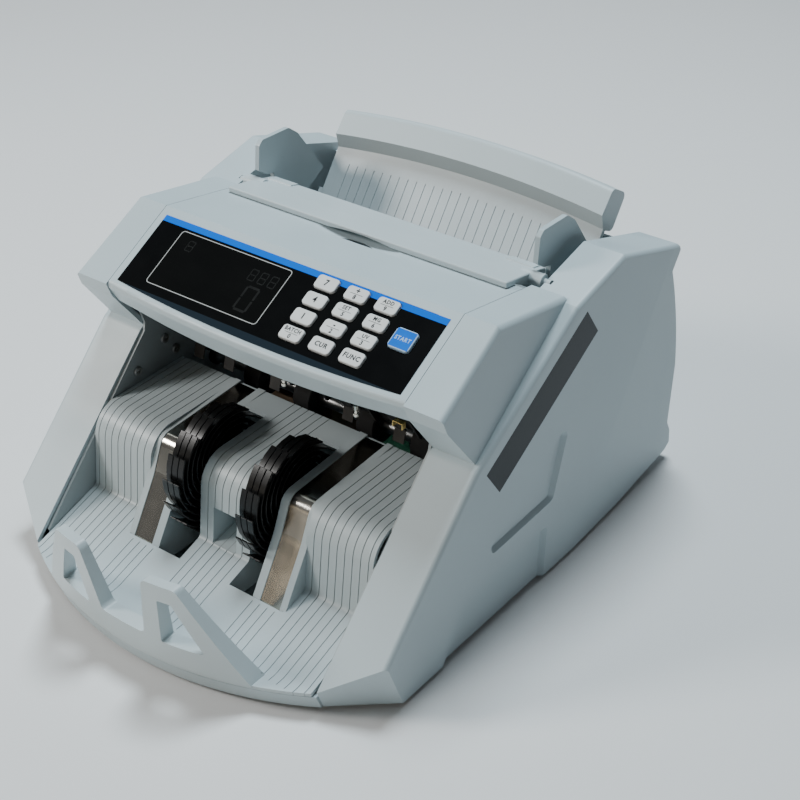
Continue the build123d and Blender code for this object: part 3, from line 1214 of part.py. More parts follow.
# ================================================================= parts list
def parts():
    """Every node by name."""
    right_side = {
        "side_cover": side_cover(),
        "hopper_guide": hopper_guide(),
        "note_plate": note_plate(),
        "impeller": impeller(),
        "side_frame": side_frame(),
    }
    nodes = {}
    for name, shape in right_side.items():
        nodes["right_" + name] = shape
        nodes["left_" + name] = other_side(shape)
    nodes["front_cover"] = front_cover()
    nodes["panel_overlay"] = panel_overlay()
    nodes["display_window"] = display_window()
    nodes["display_module"] = display_module()
    nodes["keypad_board"] = keypad_board()
    cap = key_cap(KEY_W, KEY_L)
    for name, x, s in key_places():
        nodes[name] = PANEL * Pos(x, s, PANEL_PROUD) * cap
    nodes["start_key"] = PANEL * Pos(START_X, START_S, PANEL_PROUD) * key_cap(START_W, START_L)
    nodes["top_lid"] = top_lid()
    nodes["hopper_tray"] = hopper_tray()
    nodes["guide_rail"] = guide_rail()
    nodes["stacker_tray"] = stacker_tray()
    nodes["stacker_sensor_lens"] = sensor_lens()
    nodes["base_pan"] = base_pan()
    nodes["rubber_feet"] = rubber_feet()
    nodes["tie_bars"] = tie_bars()
    nodes["shaft_bushes"] = shaft_bushes()
    nodes["case_screws"] = case_screws()
    nodes["rear_cover"] = rear_cover()
    nodes["power_inlet"] = power_inlet()
    nodes["switch_rocker"] = switch_rocker()
    nodes["display_socket"] = display_socket()
    nodes["gap_knob"] = gap_knob()
    nodes["impeller_shaft"] = shaft(IMPELLER_AT, SHAFT_R, [(*LANE_A, STACK_LARGE_R)])
    nodes["transport_shaft"] = shaft(
        TRANSPORT_AT, SHAFT_R, [(*LANE_A, STACK_SMALL_R), (*LANE_B, TRANSPORT_PULLEY_R)])
    nodes["pinch_shaft"] = shaft(PINCH_AT, SHAFT_R - 1.0, [])
    nodes["feed_shaft"] = shaft(
        FEED_AT, SHAFT_R + 1.0,
        [(*LANE_A, FEED_PULLEY_R), (*LANE_B, FEED_DRIVE_R), (*LANE_C, PICKUP_PULLEY_R)])
    nodes["pickup_shaft"] = shaft(PICKUP_AT, SHAFT_R, [(*LANE_C, PICKUP_PULLEY_R)])
    nodes["transport_rollers"] = rollers(TRANSPORT_AT, TRANSPORT_R, SHAFT_R, (-58, -22, 22, 58), 12.0)
    nodes["pinch_rollers"] = rollers(PINCH_AT, PINCH_R, SHAFT_R - 1.0, (-58, -22, 22, 58), 10.0)
    nodes["feed_rollers"] = rollers(FEED_AT, FEED_R, SHAFT_R + 1.0, (-FEED_X, FEED_X), FEED_W)
    nodes["pickup_rollers"] = rollers(PICKUP_AT, PICKUP_R, SHAFT_R, (-FEED_X, FEED_X), PICKUP_W)
    retard = shaft(RETARD_AT, SHAFT_R - 1.0, [])
    wheels = rollers(RETARD_AT, RETARD_R, SHAFT_R - 1.0, (-FEED_X, FEED_X), FEED_W - 4.0)
    nodes["retard_rollers"] = Compound(children=[retard, *wheels.solids()])
    nodes["main_motor"] = main_motor()
    nodes["motor_pulley"] = motor_pulley()
    nodes["drive_belts"] = drive_belts()
    nodes["main_board"] = main_board()
    nodes["transformer"] = transformer()
    nodes["upper_guide"] = upper_guide()
    nodes["exit_springs"] = exit_springs()
    return nodes


if __name__ == "__main__":
    os.makedirs("parts", exist_ok=True)
    for name, shape in parts().items():
        export_step(shape, os.path.join("parts", name + ".step"))
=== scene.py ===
# %% [markdown]
# # A banknote counting machine
# The machine's shape comes from a CAD model that is already in place. This file gives each part its
# finish, adds the small printed and pressed details that the CAD model leaves out, and sets up a
# plain studio around it. Everything is in metres, with the table at z = 0 and the operator at -y.

# %% Load the machine
import json
import math

import bpy
import bmesh
from mathutils import Matrix, Vector


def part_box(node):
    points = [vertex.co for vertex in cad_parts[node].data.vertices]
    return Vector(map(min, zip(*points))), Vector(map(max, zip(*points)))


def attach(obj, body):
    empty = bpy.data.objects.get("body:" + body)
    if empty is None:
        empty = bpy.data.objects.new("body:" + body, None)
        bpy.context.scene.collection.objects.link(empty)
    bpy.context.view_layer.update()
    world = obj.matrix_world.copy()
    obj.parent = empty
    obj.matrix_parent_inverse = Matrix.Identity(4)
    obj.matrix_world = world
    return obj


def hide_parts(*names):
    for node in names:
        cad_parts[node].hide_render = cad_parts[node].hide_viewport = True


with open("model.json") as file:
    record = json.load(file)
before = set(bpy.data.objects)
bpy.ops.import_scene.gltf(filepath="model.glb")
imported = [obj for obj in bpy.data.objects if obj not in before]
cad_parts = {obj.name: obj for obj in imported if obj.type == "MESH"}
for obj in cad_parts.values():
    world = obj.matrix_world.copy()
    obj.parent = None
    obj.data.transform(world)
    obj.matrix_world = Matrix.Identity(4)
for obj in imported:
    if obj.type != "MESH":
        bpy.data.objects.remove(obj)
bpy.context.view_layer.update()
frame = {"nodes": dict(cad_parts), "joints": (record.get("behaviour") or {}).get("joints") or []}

NODES = frame["nodes"]
MM = 0.001
print("parts in the frame:", len(NODES))

# %% [markdown]
# ## Where things are
# The control panel slopes. Every key slides straight into it, so the direction of one key's travel
# gives the panel's normal, and nothing about the slope has to be measured by eye. A part's own
# vertices then say how high its face stands and where its middle is.

# %% Directions of the control panel
travel = next(j for j in frame["joints"] if j["name"] == "start_key_press")
NORMAL = -Vector(travel["axis"]).normalized()
UPHILL = Vector((0, NORMAL.z, -NORMAL.y))
print("panel tilt in degrees:", round(math.degrees(UPHILL.angle(Vector((0, 1, 0)))), 2))


def panel_spot(node):
    """Middle of a panel part's outer face, with the panel's directions, as a matrix."""
    low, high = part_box(node)
    points = [v.co for v in NODES[node].data.vertices]
    along = [p.dot(UPHILL) for p in points]
    top = max(p.dot(NORMAL) for p in points)
    middle = (min(along) + max(along)) / 2
    origin = Vector(((low.x + high.x) / 2, 0, 0)) + UPHILL * middle + NORMAL * top
    turn = Matrix((Vector((1, 0, 0)), UPHILL, NORMAL)).transposed().to_4x4()
    return Matrix.Translation(origin) @ turn


WINDOW = panel_spot("display_window")
print("window middle:", [round(c, 4) for c in WINDOW.translation])

# %% [markdown]
# ## Writing materials as formulas
# A material in Blender is a graph of nodes. Long graphs are hard to read as lists of links, so a
# small class wraps one node output and lets ordinary arithmetic build the Math nodes. `1 - mask`
# then means exactly what it says.

# %% A node output that can be added and multiplied
class Wire:
    """One output of a node in a recipe, with the arithmetic that a formula needs."""

    def __init__(self, recipe, socket):
        self.recipe = recipe
        self.socket = socket

    def calc(self, operation, first, second=0.0):
        return self.recipe.node("ShaderNodeMath", {"operation": operation}, {0: first, 1: second})

    def __add__(self, other):
        return self.calc("ADD", self, other)

    def __radd__(self, other):
        return self.calc("ADD", other, self)

    def __sub__(self, other):
        return self.calc("SUBTRACT", self, other)

    def __rsub__(self, other):
        return self.calc("SUBTRACT", other, self)

    def __mul__(self, other):
        return self.calc("MULTIPLY", self, other)

    def __rmul__(self, other):
        return self.calc("MULTIPLY", other, self)

    def __abs__(self):
        return self.calc("ABSOLUTE", self)

    def over(self, edge):
        """1 where this is more than edge."""
        return self.calc("GREATER_THAN", self, edge)

    def under(self, edge):
        """1 where this is less than edge."""
        return self.calc("LESS_THAN", self, edge)

    def most(self, other):
        return self.calc("MAXIMUM", self, other)


# %% [markdown]
# A recipe is one material: a Principled shader plus whatever feeds it. Anything that isn't
# arithmetic comes from its `node` method, which sets the node's options first and its inputs after.

# %% A material and its nodes
class Recipe:
    """A material under construction."""

    def __init__(self, name, **fixed):
        self.material = bpy.data.materials.new(name)
        self.material.use_nodes = True
        self.tree = self.material.node_tree
        self.tree.nodes.clear()
        self.shader = self.tree.nodes.new("ShaderNodeBsdfPrincipled")
        finish = self.tree.nodes.new("ShaderNodeOutputMaterial")
        self.tree.links.new(self.shader.outputs[0], finish.inputs[0])
        for socket, value in fixed.items():
            self.feed(self.shader.inputs[socket.replace("_", " ")], value)

    def feed(self, socket, value):
        if isinstance(value, Wire):
            self.tree.links.new(value.socket, socket)
        elif isinstance(value, tuple) and len(value) == 3 and socket.type == "RGBA":
            socket.default_value = (*value, 1)
        else:
            socket.default_value = value

    def node(self, kind, settings=None, inputs=None, output=0):
        made = self.tree.nodes.new(kind)
        for key, value in (settings or {}).items():
            if key == "stops":
                ramp = made.color_ramp.elements
                while len(ramp) < len(value):
                    ramp.new(0.5)
                for element, (place, shade) in zip(ramp, value):
                    element.position = place
                    element.color = (shade, shade, shade, 1)
            else:
                setattr(made, key, value)
        for key, value in (inputs or {}).items():
            self.feed(made.inputs[key], value)
        return Wire(self, made.outputs[output])

    def place(self):
        """The point on the object itself."""
        return self.node("ShaderNodeTexCoord", output="Object")

    def axes(self, place):
        split = self.node("ShaderNodeSeparateXYZ", inputs={0: place})
        outputs = split.socket.node.outputs
        return [Wire(self, outputs[i]) for i in range(3)]

    def stretched(self, place, scale):
        return self.node("ShaderNodeMapping", inputs={"Vector": place, "Scale": scale})

    def along(self, place, direction):
        """How far a point lies in a direction."""
        settings = {"operation": "DOT_PRODUCT"}
        return self.node("ShaderNodeVectorMath", settings, {0: place, 1: tuple(direction)}, "Value")

    def noise(self, place, scale, detail):
        inputs = {"Vector": place, "Scale": scale, "Detail": detail}
        return self.node("ShaderNodeTexNoise", inputs=inputs)

    def ramp(self, value, stops):
        return self.node("ShaderNodeValToRGB", {"stops": stops}, {0: value})

    def mix(self, mask, low, high):
        """Colour low where mask is 0, colour high where it is 1."""
        made = self.tree.nodes.new("ShaderNodeMix")
        made.data_type = "RGBA"
        self.feed(made.inputs[0], mask)
        self.feed(made.inputs[6], low)
        self.feed(made.inputs[7], high)
        return Wire(self, made.outputs[2])

    def bump(self, height, depth, strength):
        inputs = {"Height": height, "Distance": depth, "Strength": strength}
        self.feed(self.shader.inputs["Normal"], self.node("ShaderNodeBump", inputs=inputs))

    def finish(self, **sockets):
        for socket, value in sockets.items():
            self.feed(self.shader.inputs[socket.replace("_", " ")], value)
        return self.material


def tint(colour, factor):
    """A colour made lighter or darker."""
    return tuple(c * factor for c in colour)


def dress(material, *nodes):
    """Gives CAD parts a material."""
    for name in nodes:
        slots = NODES[name].data.materials
        slots.clear()
        slots.append(material)


# %% [markdown]
# ## Moulded plastic
# The covers are injection moulded with a fine spark-eroded grain. Seen close, the grain is a
# shallow bump about a third of a millimetre across. Seen from a metre away, what tells plastic from
# paint is that the gloss isn't even: handling polishes some areas and dust dulls others. Separate
# noises make the grain, the patches and smears of gloss, and a few darker specks.

# %% Grained plastic
def grained_plastic(name, colour, gloss, grain=3200.0, depth=0.03 * MM, dust_and_groove_shade=0.05):
    made = Recipe(name, IOR=1.49)
    place = made.place()
    patches = made.noise(place, scale=26.0, detail=3.0)
    smears = made.noise(made.stretched(place, (9.0, 60.0, 20.0)), scale=1.0, detail=3.0)
    speckle = made.noise(place, scale=620.0, detail=1.0)
    specks = made.ramp(speckle, [(0.70, 0.0), (0.78, 1.0)])
    base = made.mix(patches, tint(colour, 1 - dust_and_groove_shade), tint(colour, 1 + dust_and_groove_shade * 0.6))
    base = made.mix(specks * 0.10, base, tint(colour, 0.62))
    rough = gloss + (patches - 0.5) * 0.16 + (smears - 0.5) * 0.10
    made.bump(made.noise(place, scale=grain, detail=2.0), depth, strength=0.55)
    return made.finish(Base_Color=base, Roughness=rough)


COVER_GREY = (0.455, 0.535, 0.562)
TRAY_GREY = (0.485, 0.552, 0.570)
case_plastic = grained_plastic("case_plastic", COVER_GREY, 0.42)
tray_plastic = grained_plastic("tray_plastic", TRAY_GREY, 0.40, grain=2400.0, depth=0.02 * MM)
guide_plastic = grained_plastic("guide_plastic", tint(COVER_GREY, 0.96), 0.34, depth=0.02 * MM)
dress(case_plastic, "right_side_cover", "left_side_cover", "front_cover", "rear_cover")
dress(guide_plastic, "left_hopper_guide", "right_hopper_guide")
print("plastics made")

# %% [markdown]
# ## Painted shade in the grooves
# The notes slide over fine grooves, and the shade inside each groove makes it read as a thin grey
# line. The grooves are real cuts in the tray, and an ambient occlusion mask could darken them, but
# it is slow and noisy, so the colour along them is darkened instead: painted shade. The tray's own
# x coordinate is enough: the grooves repeat at a steady pitch.

# %% Tray plastic with darker grooves
def tray_with_painted_groove_shade(name, find_lines, dust_and_groove_shade):
    """Tray plastic whose grooves are darkened with painted shade; find_lines makes their mask."""
    made = Recipe(name, IOR=1.49)
    place = made.place()
    patches = made.noise(place, scale=30.0, detail=3.0)
    base = made.mix(patches, tint(TRAY_GREY, 0.95), tint(TRAY_GREY, 1.03))
    # Painted shade: along the groove lines the colour is darkened towards a quarter of the tray grey.
    base = made.mix(find_lines(made, place) * dust_and_groove_shade, base, tint(TRAY_GREY, 0.25))
    made.bump(made.noise(place, scale=2400.0, detail=2.0), depth=0.02 * MM, strength=0.5)
    return made.finish(Base_Color=base, Roughness=0.40 + (patches - 0.5) * 0.15)


def repeating(made, value, pitch, half_width):
    """1 on a line at every pitch along value."""
    cell = made.node("ShaderNodeMath", {"operation": "PINGPONG"}, {0: value, 1: pitch / 2})
    return cell.under(half_width)


# Distances from the tray's middle, sideways: where a block begins and where its first groove is.
GROOVE_PITCH = 4.8 * MM
GROOVE_HALF = 0.26 * MM
SIDE_BLOCK, SIDE_GROOVE = 56 * MM, 58 * MM
CENTRE_BLOCK, CENTRE_GROOVE = 13 * MM, 2.4 * MM
FLOOR_FROM, FLOOR_TO, FLOOR_GROOVE = 33.5 * MM, 50 * MM, 34.5 * MM
FENCE_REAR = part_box("stacker_tray")[0].y + 27 * MM
FLOOR_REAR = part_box("left_note_plate")[0].y - 2 * MM


def stacker_lines(made, place):
    x, y, z = made.axes(place)
    side = abs(x)
    outer = repeating(made, side - SIDE_GROOVE, GROOVE_PITCH, GROOVE_HALF)
    outer = outer * side.over(SIDE_BLOCK)
    centre = repeating(made, side - CENTRE_GROOVE, GROOVE_PITCH, GROOVE_HALF)
    centre = centre * side.under(CENTRE_BLOCK)
    floor = repeating(made, side - FLOOR_GROOVE, GROOVE_PITCH, GROOVE_HALF)
    floor = floor * side.over(FLOOR_FROM) * side.under(FLOOR_TO) * y.under(FLOOR_REAR)
    return outer.most(centre).most(floor) * y.over(FENCE_REAR)


HOPPER_PITCH, HOPPER_HALF = 6 * MM, 0.28 * MM
HOPPER_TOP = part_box("hopper_tray")[1].z - 25 * MM
HOPPER_LENGTH = 24 * MM
HOPPER_SAG = 0.035


def hopper_lines(made, place):
    x, y, z = made.axes(place)
    drop = HOPPER_TOP - z - abs(x) * HOPPER_SAG
    lines = repeating(made, x, HOPPER_PITCH, HOPPER_HALF)
    return lines * drop.over(0.0) * drop.under(HOPPER_LENGTH)


# The last number sets how dark the painted shade in each tray's grooves is.
dress(tray_with_painted_groove_shade("stacker_plastic", stacker_lines, 0.40), "stacker_tray")
dress(tray_with_painted_groove_shade("hopper_plastic", hopper_lines, 0.05), "hopper_tray")
dress(tray_plastic, "top_lid")
print("grooves every", GROOVE_PITCH / MM, "mm")

# %% [markdown]
# ## The control panel film
# The panel is one printed polycarbonate film: black, with a bright blue rule along its top edge, a
# slate band that fills the bowed lower edge, and a thin white frame round the window. Printing has
# no thickness, so it belongs in the material. Distances are taken along the slope from the window's
# middle.

# %% Printed film
BLUE_RULE = 3.7 * MM
SLATE_BELOW = 5.6 * MM
FRAME_CORNER = 1.6 * MM
FRAME_GAP = 0.25 * MM
FRAME_HALF = 0.22 * MM


def printed_film():
    made = Recipe("printed_film", IOR=1.5, Specular_IOR_Level=0.22)
    place = made.place()
    x = made.axes(place)[0] - WINDOW.translation.x
    up = made.along(place, UPHILL) - WINDOW.translation.dot(UPHILL)
    low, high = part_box("display_window")
    half_w = (high.x - low.x) / 2 + 0.1 * MM
    half_l = (high - low).dot(UPHILL) / 2
    top = max(v.co.dot(UPHILL) for v in NODES["panel_overlay"].data.vertices)
    top -= WINDOW.translation.dot(UPHILL)
    blue_rule = up.over(top - BLUE_RULE)
    slate = up.under(-half_l - SLATE_BELOW)
    out_x = (abs(x) - (half_w - FRAME_CORNER)).most(0.0)
    out_y = (abs(up) - (half_l - FRAME_CORNER)).most(0.0)
    squares = out_x * out_x + out_y * out_y
    round_off = squares.calc("SQRT", squares)
    frame_line = abs(round_off - (FRAME_CORNER + FRAME_GAP)).under(FRAME_HALF)
    wear = made.noise(place, scale=55.0, detail=4.0)
    black = made.mix(wear, (0.0012, 0.0014, 0.0016), (0.0030, 0.0034, 0.0038))
    base = made.mix(slate, black, (0.012, 0.020, 0.028))
    base = made.mix(blue_rule, base, (0.0, 0.12, 0.62))
    base = made.mix(frame_line, base, (0.42, 0.42, 0.41))
    made.bump(made.noise(place, scale=5200.0, detail=1.0), depth=0.01 * MM, strength=0.3)
    return made.finish(Base_Color=base, Roughness=0.24 + (wear - 0.5) * 0.10)


dress(printed_film(), "panel_overlay")
print("film made")

# %% [markdown]
# ## Window and display
# The window is smoked plastic, almost black until the display lights. It is left opaque, with a
# high gloss, because what it shows when it is off is mostly the room.

# %% Smoked window and the display behind it
def smoked_window():
    made = Recipe("smoked_window", IOR=1.5, Specular_IOR_Level=0.3)
    place = made.place()
    smudge = made.noise(made.stretched(place, (40.0, 90.0, 40.0)), scale=1.0, detail=4.0)
    base = made.mix(smudge, (0.0022, 0.0024, 0.0024), (0.0042, 0.0045, 0.0044))
    return made.finish(Base_Color=base, Roughness=0.10 + smudge * 0.08)


def display_metal():
    made = Recipe("display_metal", Metallic=0.8)
    place = made.place()
    streak = made.noise(made.stretched(place, (30.0, 900.0, 900.0)), scale=1.0, detail=2.0)
    return made.finish(Base_Color=made.mix(streak, (0.10, 0.11, 0.11), (0.16, 0.17, 0.17)),
                       Roughness=0.35 + streak * 0.2)


dress(smoked_window(), "display_window")
dress(display_metal(), "display_module")
print("window and display made")

# %% [markdown]
# ## Keys
# The white caps are matte, and slightly yellowed in patches by fingers. The start key is the only
# coloured one: blue, with a pale printed border. Its border is a simple test of how far a point is
# from the key's middle.

# %% Key caps
START_MARGIN = 1.35 * MM


def key_plastic():
    made = Recipe("key_plastic", IOR=1.47)
    place = made.place()
    touch = made.noise(place, scale=160.0, detail=3.0)
    base = made.mix(touch, (0.60, 0.60, 0.585), (0.72, 0.725, 0.72))
    made.bump(made.noise(place, scale=2600.0, detail=1.0), depth=0.02 * MM, strength=0.4)
    return made.finish(Base_Color=base, Roughness=0.46 + (touch - 0.5) * 0.15)


def start_key_plastic():
    made = Recipe("start_key_plastic", IOR=1.5, Specular_IOR_Level=0.3)
    place = made.place()
    spot = panel_spot("start_key").translation
    x = abs(made.axes(place)[0] - spot.x)
    up = abs(made.along(place, UPHILL) - spot.dot(UPHILL))
    low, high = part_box("start_key")
    half_w = (high.x - low.x) / 2 - START_MARGIN
    half_l = half_w - 0.5 * MM
    border = x.over(half_w).most(up.over(half_l))
    touch = made.noise(place, scale=160.0, detail=3.0)
    blue = made.mix(touch, (0.0, 0.11, 0.56), (0.0, 0.14, 0.66))
    base = made.mix(border, blue, (0.42, 0.58, 0.72))
    return made.finish(Base_Color=base, Roughness=0.34 + touch * 0.1)


caps = sorted(name for name in NODES if name.startswith("key_"))
dress(key_plastic(), *caps)
dress(start_key_plastic(), "start_key")
print("keys:", caps)

# %% [markdown]
# ## Metals
# Ground shafts show fine rings round them, so their noise is squeezed along x. The note plates are
# polished, with faint streaks down the way the notes travel. The frames are painted steel.

# %% Steel, polished plate and painted steel
def ground_steel():
    made = Recipe("ground_steel", Metallic=1.0)
    place = made.place()
    rings = made.noise(made.stretched(place, (2600.0, 60.0, 60.0)), scale=1.0, detail=2.0)
    oil = made.noise(place, scale=40.0, detail=3.0)
    base = made.mix(oil, (0.46, 0.46, 0.45), (0.60, 0.60, 0.59))
    made.bump(rings, depth=0.01 * MM, strength=0.4)
    return made.finish(Base_Color=base, Roughness=0.24 + rings * 0.16)


def polished_plate():
    made = Recipe("polished_plate", Metallic=1.0)
    place = made.place()
    rub = made.noise(made.stretched(place, (1400.0, 20.0, 20.0)), scale=1.0, detail=2.0)
    haze = made.noise(place, scale=50.0, detail=3.0)
    base = made.mix(haze, (0.62, 0.58, 0.50), (0.74, 0.71, 0.64))
    made.bump(rub, depth=0.006 * MM, strength=0.35)
    return made.finish(Base_Color=base, Roughness=0.07 + haze * 0.10 + rub * 0.05)


def painted_steel(name, colour):
    made = Recipe(name, IOR=1.5)
    place = made.place()
    peel = made.noise(place, scale=900.0, detail=2.0)
    patches = made.noise(place, scale=22.0, detail=3.0)
    made.bump(peel, depth=0.03 * MM, strength=0.5)
    base = made.mix(patches, tint(colour, 0.93), tint(colour, 1.04))
    return made.finish(Base_Color=base, Roughness=0.38 + peel * 0.12)


dress(ground_steel(), "guide_rail", "impeller_shaft", "transport_shaft", "pinch_shaft",
      "feed_shaft", "pickup_shaft", "tie_bars", "case_screws", "motor_pulley")
dress(painted_steel("spring_paint", (0.012, 0.012, 0.013)), "exit_springs")
dress(polished_plate(), "left_note_plate", "right_note_plate")
dress(painted_steel("frame_paint", (0.33, 0.37, 0.38)), "left_side_frame", "right_side_frame")
dress(painted_steel("pan_paint", tint(COVER_GREY, 0.98)), "base_pan")
dress(painted_steel("motor_paint", (0.09, 0.09, 0.095)), "main_motor")
print("metals made")

# %% [markdown]
# ## Black plastic and rubber
# The stacking wheels are flexible black plastic with a soft shine on the fins. Rubber is darker in
# the grain and much rougher. Both take a bump, because a perfectly smooth black surface looks like
# a hole.

# %% Black parts
def black_plastic(name, shade, gloss, grain):
    made = Recipe(name, IOR=1.48, Specular_IOR_Level=0.35)
    place = made.place()
    scuff = made.noise(made.stretched(place, (30.0, 220.0, 220.0)), scale=1.0, detail=3.0)
    made.bump(made.noise(place, scale=grain, detail=2.0), depth=0.03 * MM, strength=0.4)
    base = made.mix(scuff, tint((1.0, 1.0, 1.02), shade), tint((1.0, 1.0, 1.02), shade * 2.2))
    return made.finish(Base_Color=base, Roughness=gloss + (scuff - 0.5) * 0.18)


def rubber():
    made = Recipe("rubber")
    place = made.place()
    bloom = made.noise(place, scale=90.0, detail=4.0)
    made.bump(made.noise(place, scale=1500.0, detail=3.0), depth=0.08 * MM, strength=0.6)
    base = made.mix(bloom, (0.012, 0.012, 0.012), (0.035, 0.034, 0.033))
    return made.finish(Base_Color=base, Roughness=0.72 + bloom * 0.15)


wheel_plastic = black_plastic("wheel_plastic", 0.0026, 0.30, 900.0)
dress(wheel_plastic, "left_impeller", "right_impeller")
# The upper guide closes the space under the console lip. Its near-black is partly black plastic and
# partly painted shade standing in for the shade in that space.
dress(black_plastic("black_chute_and_painted_shade", 0.003, 0.5, 1400.0), "upper_guide", "shaft_bushes")
dress(black_plastic("fitting_plastic", 0.010, 0.42, 1800.0),
      "power_inlet", "display_socket", "gap_knob", "switch_rocker")
dress(rubber(), "rubber_feet", "transport_rollers", "pinch_rollers", "feed_rollers",
      "pickup_rollers", "retard_rollers", "drive_belts")
print("black parts made")

# %% [markdown]
# ## Boards, windings and the lens
# These are inside the machine. A little of them shows through the vents and the mouth of the
# pocket. A circuit board is green lacquer over copper tracks, so a Voronoi pattern stepped into
# lines stands for the tracks.

# %% Circuit boards, transformer and lens
def circuit_board():
    made = Recipe("circuit_board", IOR=1.55)
    place = made.place()
    settings = {"feature": "DISTANCE_TO_EDGE", "distance": "EUCLIDEAN"}
    cells = made.node("ShaderNodeTexVoronoi", settings, {"Vector": place, "Scale": 320.0}, "Distance")
    track = cells.under(0.06)
    base = made.mix(track, (0.003, 0.030, 0.014), (0.008, 0.065, 0.028))
    return made.finish(Base_Color=base, Roughness=0.30 + track * 0.1)


def winding():
    made = Recipe("winding", Metallic=0.3)
    place = made.place()
    wires = made.noise(made.stretched(place, (40.0, 40.0, 1600.0)), scale=1.0, detail=1.0)
    made.bump(wires, depth=0.2 * MM, strength=0.6)
    base = made.mix(wires, (0.06, 0.045, 0.035), (0.24, 0.13, 0.06))
    return made.finish(Base_Color=base, Roughness=0.45)


def clear_lens():
    made = Recipe("clear_lens", IOR=1.49, Transmission_Weight=0.85)
    place = made.place()
    haze = made.noise(place, scale=300.0, detail=2.0)
    return made.finish(Base_Color=made.mix(haze, (0.72, 0.78, 0.78), (0.86, 0.90, 0.90)),
                       Roughness=0.04 + haze * 0.08)


dress(circuit_board(), "main_board", "keypad_board")
dress(winding(), "transformer")
dress(clear_lens(), "stacker_sensor_lens")
undressed = [name for name, part in NODES.items() if len(part.data.materials) != 1]
print("parts without a finish:", undressed)

# %% [markdown]
# ## Making small pieces
# The next steps model new pieces. A piece is built where it belongs, then its place is applied, so
# that its object sits at the origin like every CAD part. Nothing else may be selected when that
# happens.

# %% Helpers for new pieces
def fresh():
    """Nothing selected, in object mode."""
    bpy.ops.object.select_all(action="DESELECT")


def square_to_edit():
    """A unit square, all selected and open in edit mode."""
    fresh()
    bpy.ops.mesh.primitive_plane_add(size=1)
    square = bpy.context.object
    bpy.ops.object.mode_set(mode="EDIT")
    return square


def extrude(move):
    """In edit mode, draws the selected part out by a vector."""
    bpy.ops.mesh.extrude_region_move(TRANSFORM_OT_translate={"value": move})


def face_outwards():
    """In edit mode, turns every face outwards, then goes back to object mode."""
    bpy.ops.mesh.select_all(action="SELECT")
    bpy.ops.mesh.normals_make_consistent(inside=False)
    bpy.ops.object.mode_set(mode="OBJECT")


def smooth(piece, degrees):
    """Shades a piece smooth except where its faces meet more sharply than an angle."""
    fresh()
    piece.select_set(True)
    bpy.ops.object.shade_smooth_by_angle(angle=math.radians(degrees))


def settle(piece, matrix):
    """Puts a piece built round the origin into its place and applies it."""
    fresh()
    piece.select_set(True)
    bpy.context.view_layer.objects.active = piece
    piece.matrix_world = matrix
    bpy.ops.object.transform_apply(location=True, rotation=True, scale=True)
    return piece


def pick(piece, test):
    """In edit mode, selects the vertices that pass a test of their place."""
    bpy.ops.mesh.select_mode(type="VERT")
    bpy.ops.mesh.select_all(action="DESELECT")
    mesh = bmesh.from_edit_mesh(piece.data)
    for v in mesh.verts:
        v.select = test(v.co)
    mesh.select_flush(True)
    bmesh.update_edit_mesh(piece.data)


def add_modifier(piece, kind, **settings):
    """Adds a modifier, sets it and applies it."""
    bpy.context.view_layer.objects.active = piece
    made = piece.modifiers.new(kind.title(), kind)
    for key, value in settings.items():
        setattr(made, key, value)
    bpy.ops.object.modifier_apply(modifier=made.name)


def joined(pieces):
    """The pieces as one object."""
    fresh()
    for piece in pieces:
        piece.select_set(True)
    bpy.context.view_layer.objects.active = pieces[0]
    if len(pieces) > 1:
        bpy.ops.object.join()
    return bpy.context.object


def finish_piece(piece, name, material, body):
    """Names a piece, gives it a finish and a slot, and lets it ride on its body."""
    piece.name = name
    piece.data.name = name
    piece.data.materials.clear()
    piece.data.materials.append(material)
    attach(piece, body)
    return piece


print("helpers ready")


# %% [markdown]
# ## Stacking wheels
# A stacking wheel catches each note between long flexible blades and lays it down against the
# plates. The CAD wheel has short solid fins, which is enough for its weight and its collision. Here
# each blade is one strip extruded step by step along a spiral, so it overlaps the next one as the
# real blades do. Three strips lie side by side with a gap, and one spin makes all the blades.

# %% One spiral blade, repeated
WHEEL_BLADES = 16
BLADE_STEPS = 12
BLADE_SWEEP = math.radians(128)
BLADE_CURL = 0.72
BLADE_T = 0.8 * MM
LAYER_GAP = 0.5 * MM
HUB_R = 9.0 * MM
COLLAR_W = 2.2 * MM


def spiral(step, tip_r):
    """Point of the blade's middle line; the tip trails behind the root."""
    share = step / BLADE_STEPS
    radius = HUB_R + (tip_r - HUB_R) * share ** BLADE_CURL
    angle = -BLADE_SWEEP * share
    return Vector((0, radius * math.cos(angle), radius * math.sin(angle)))


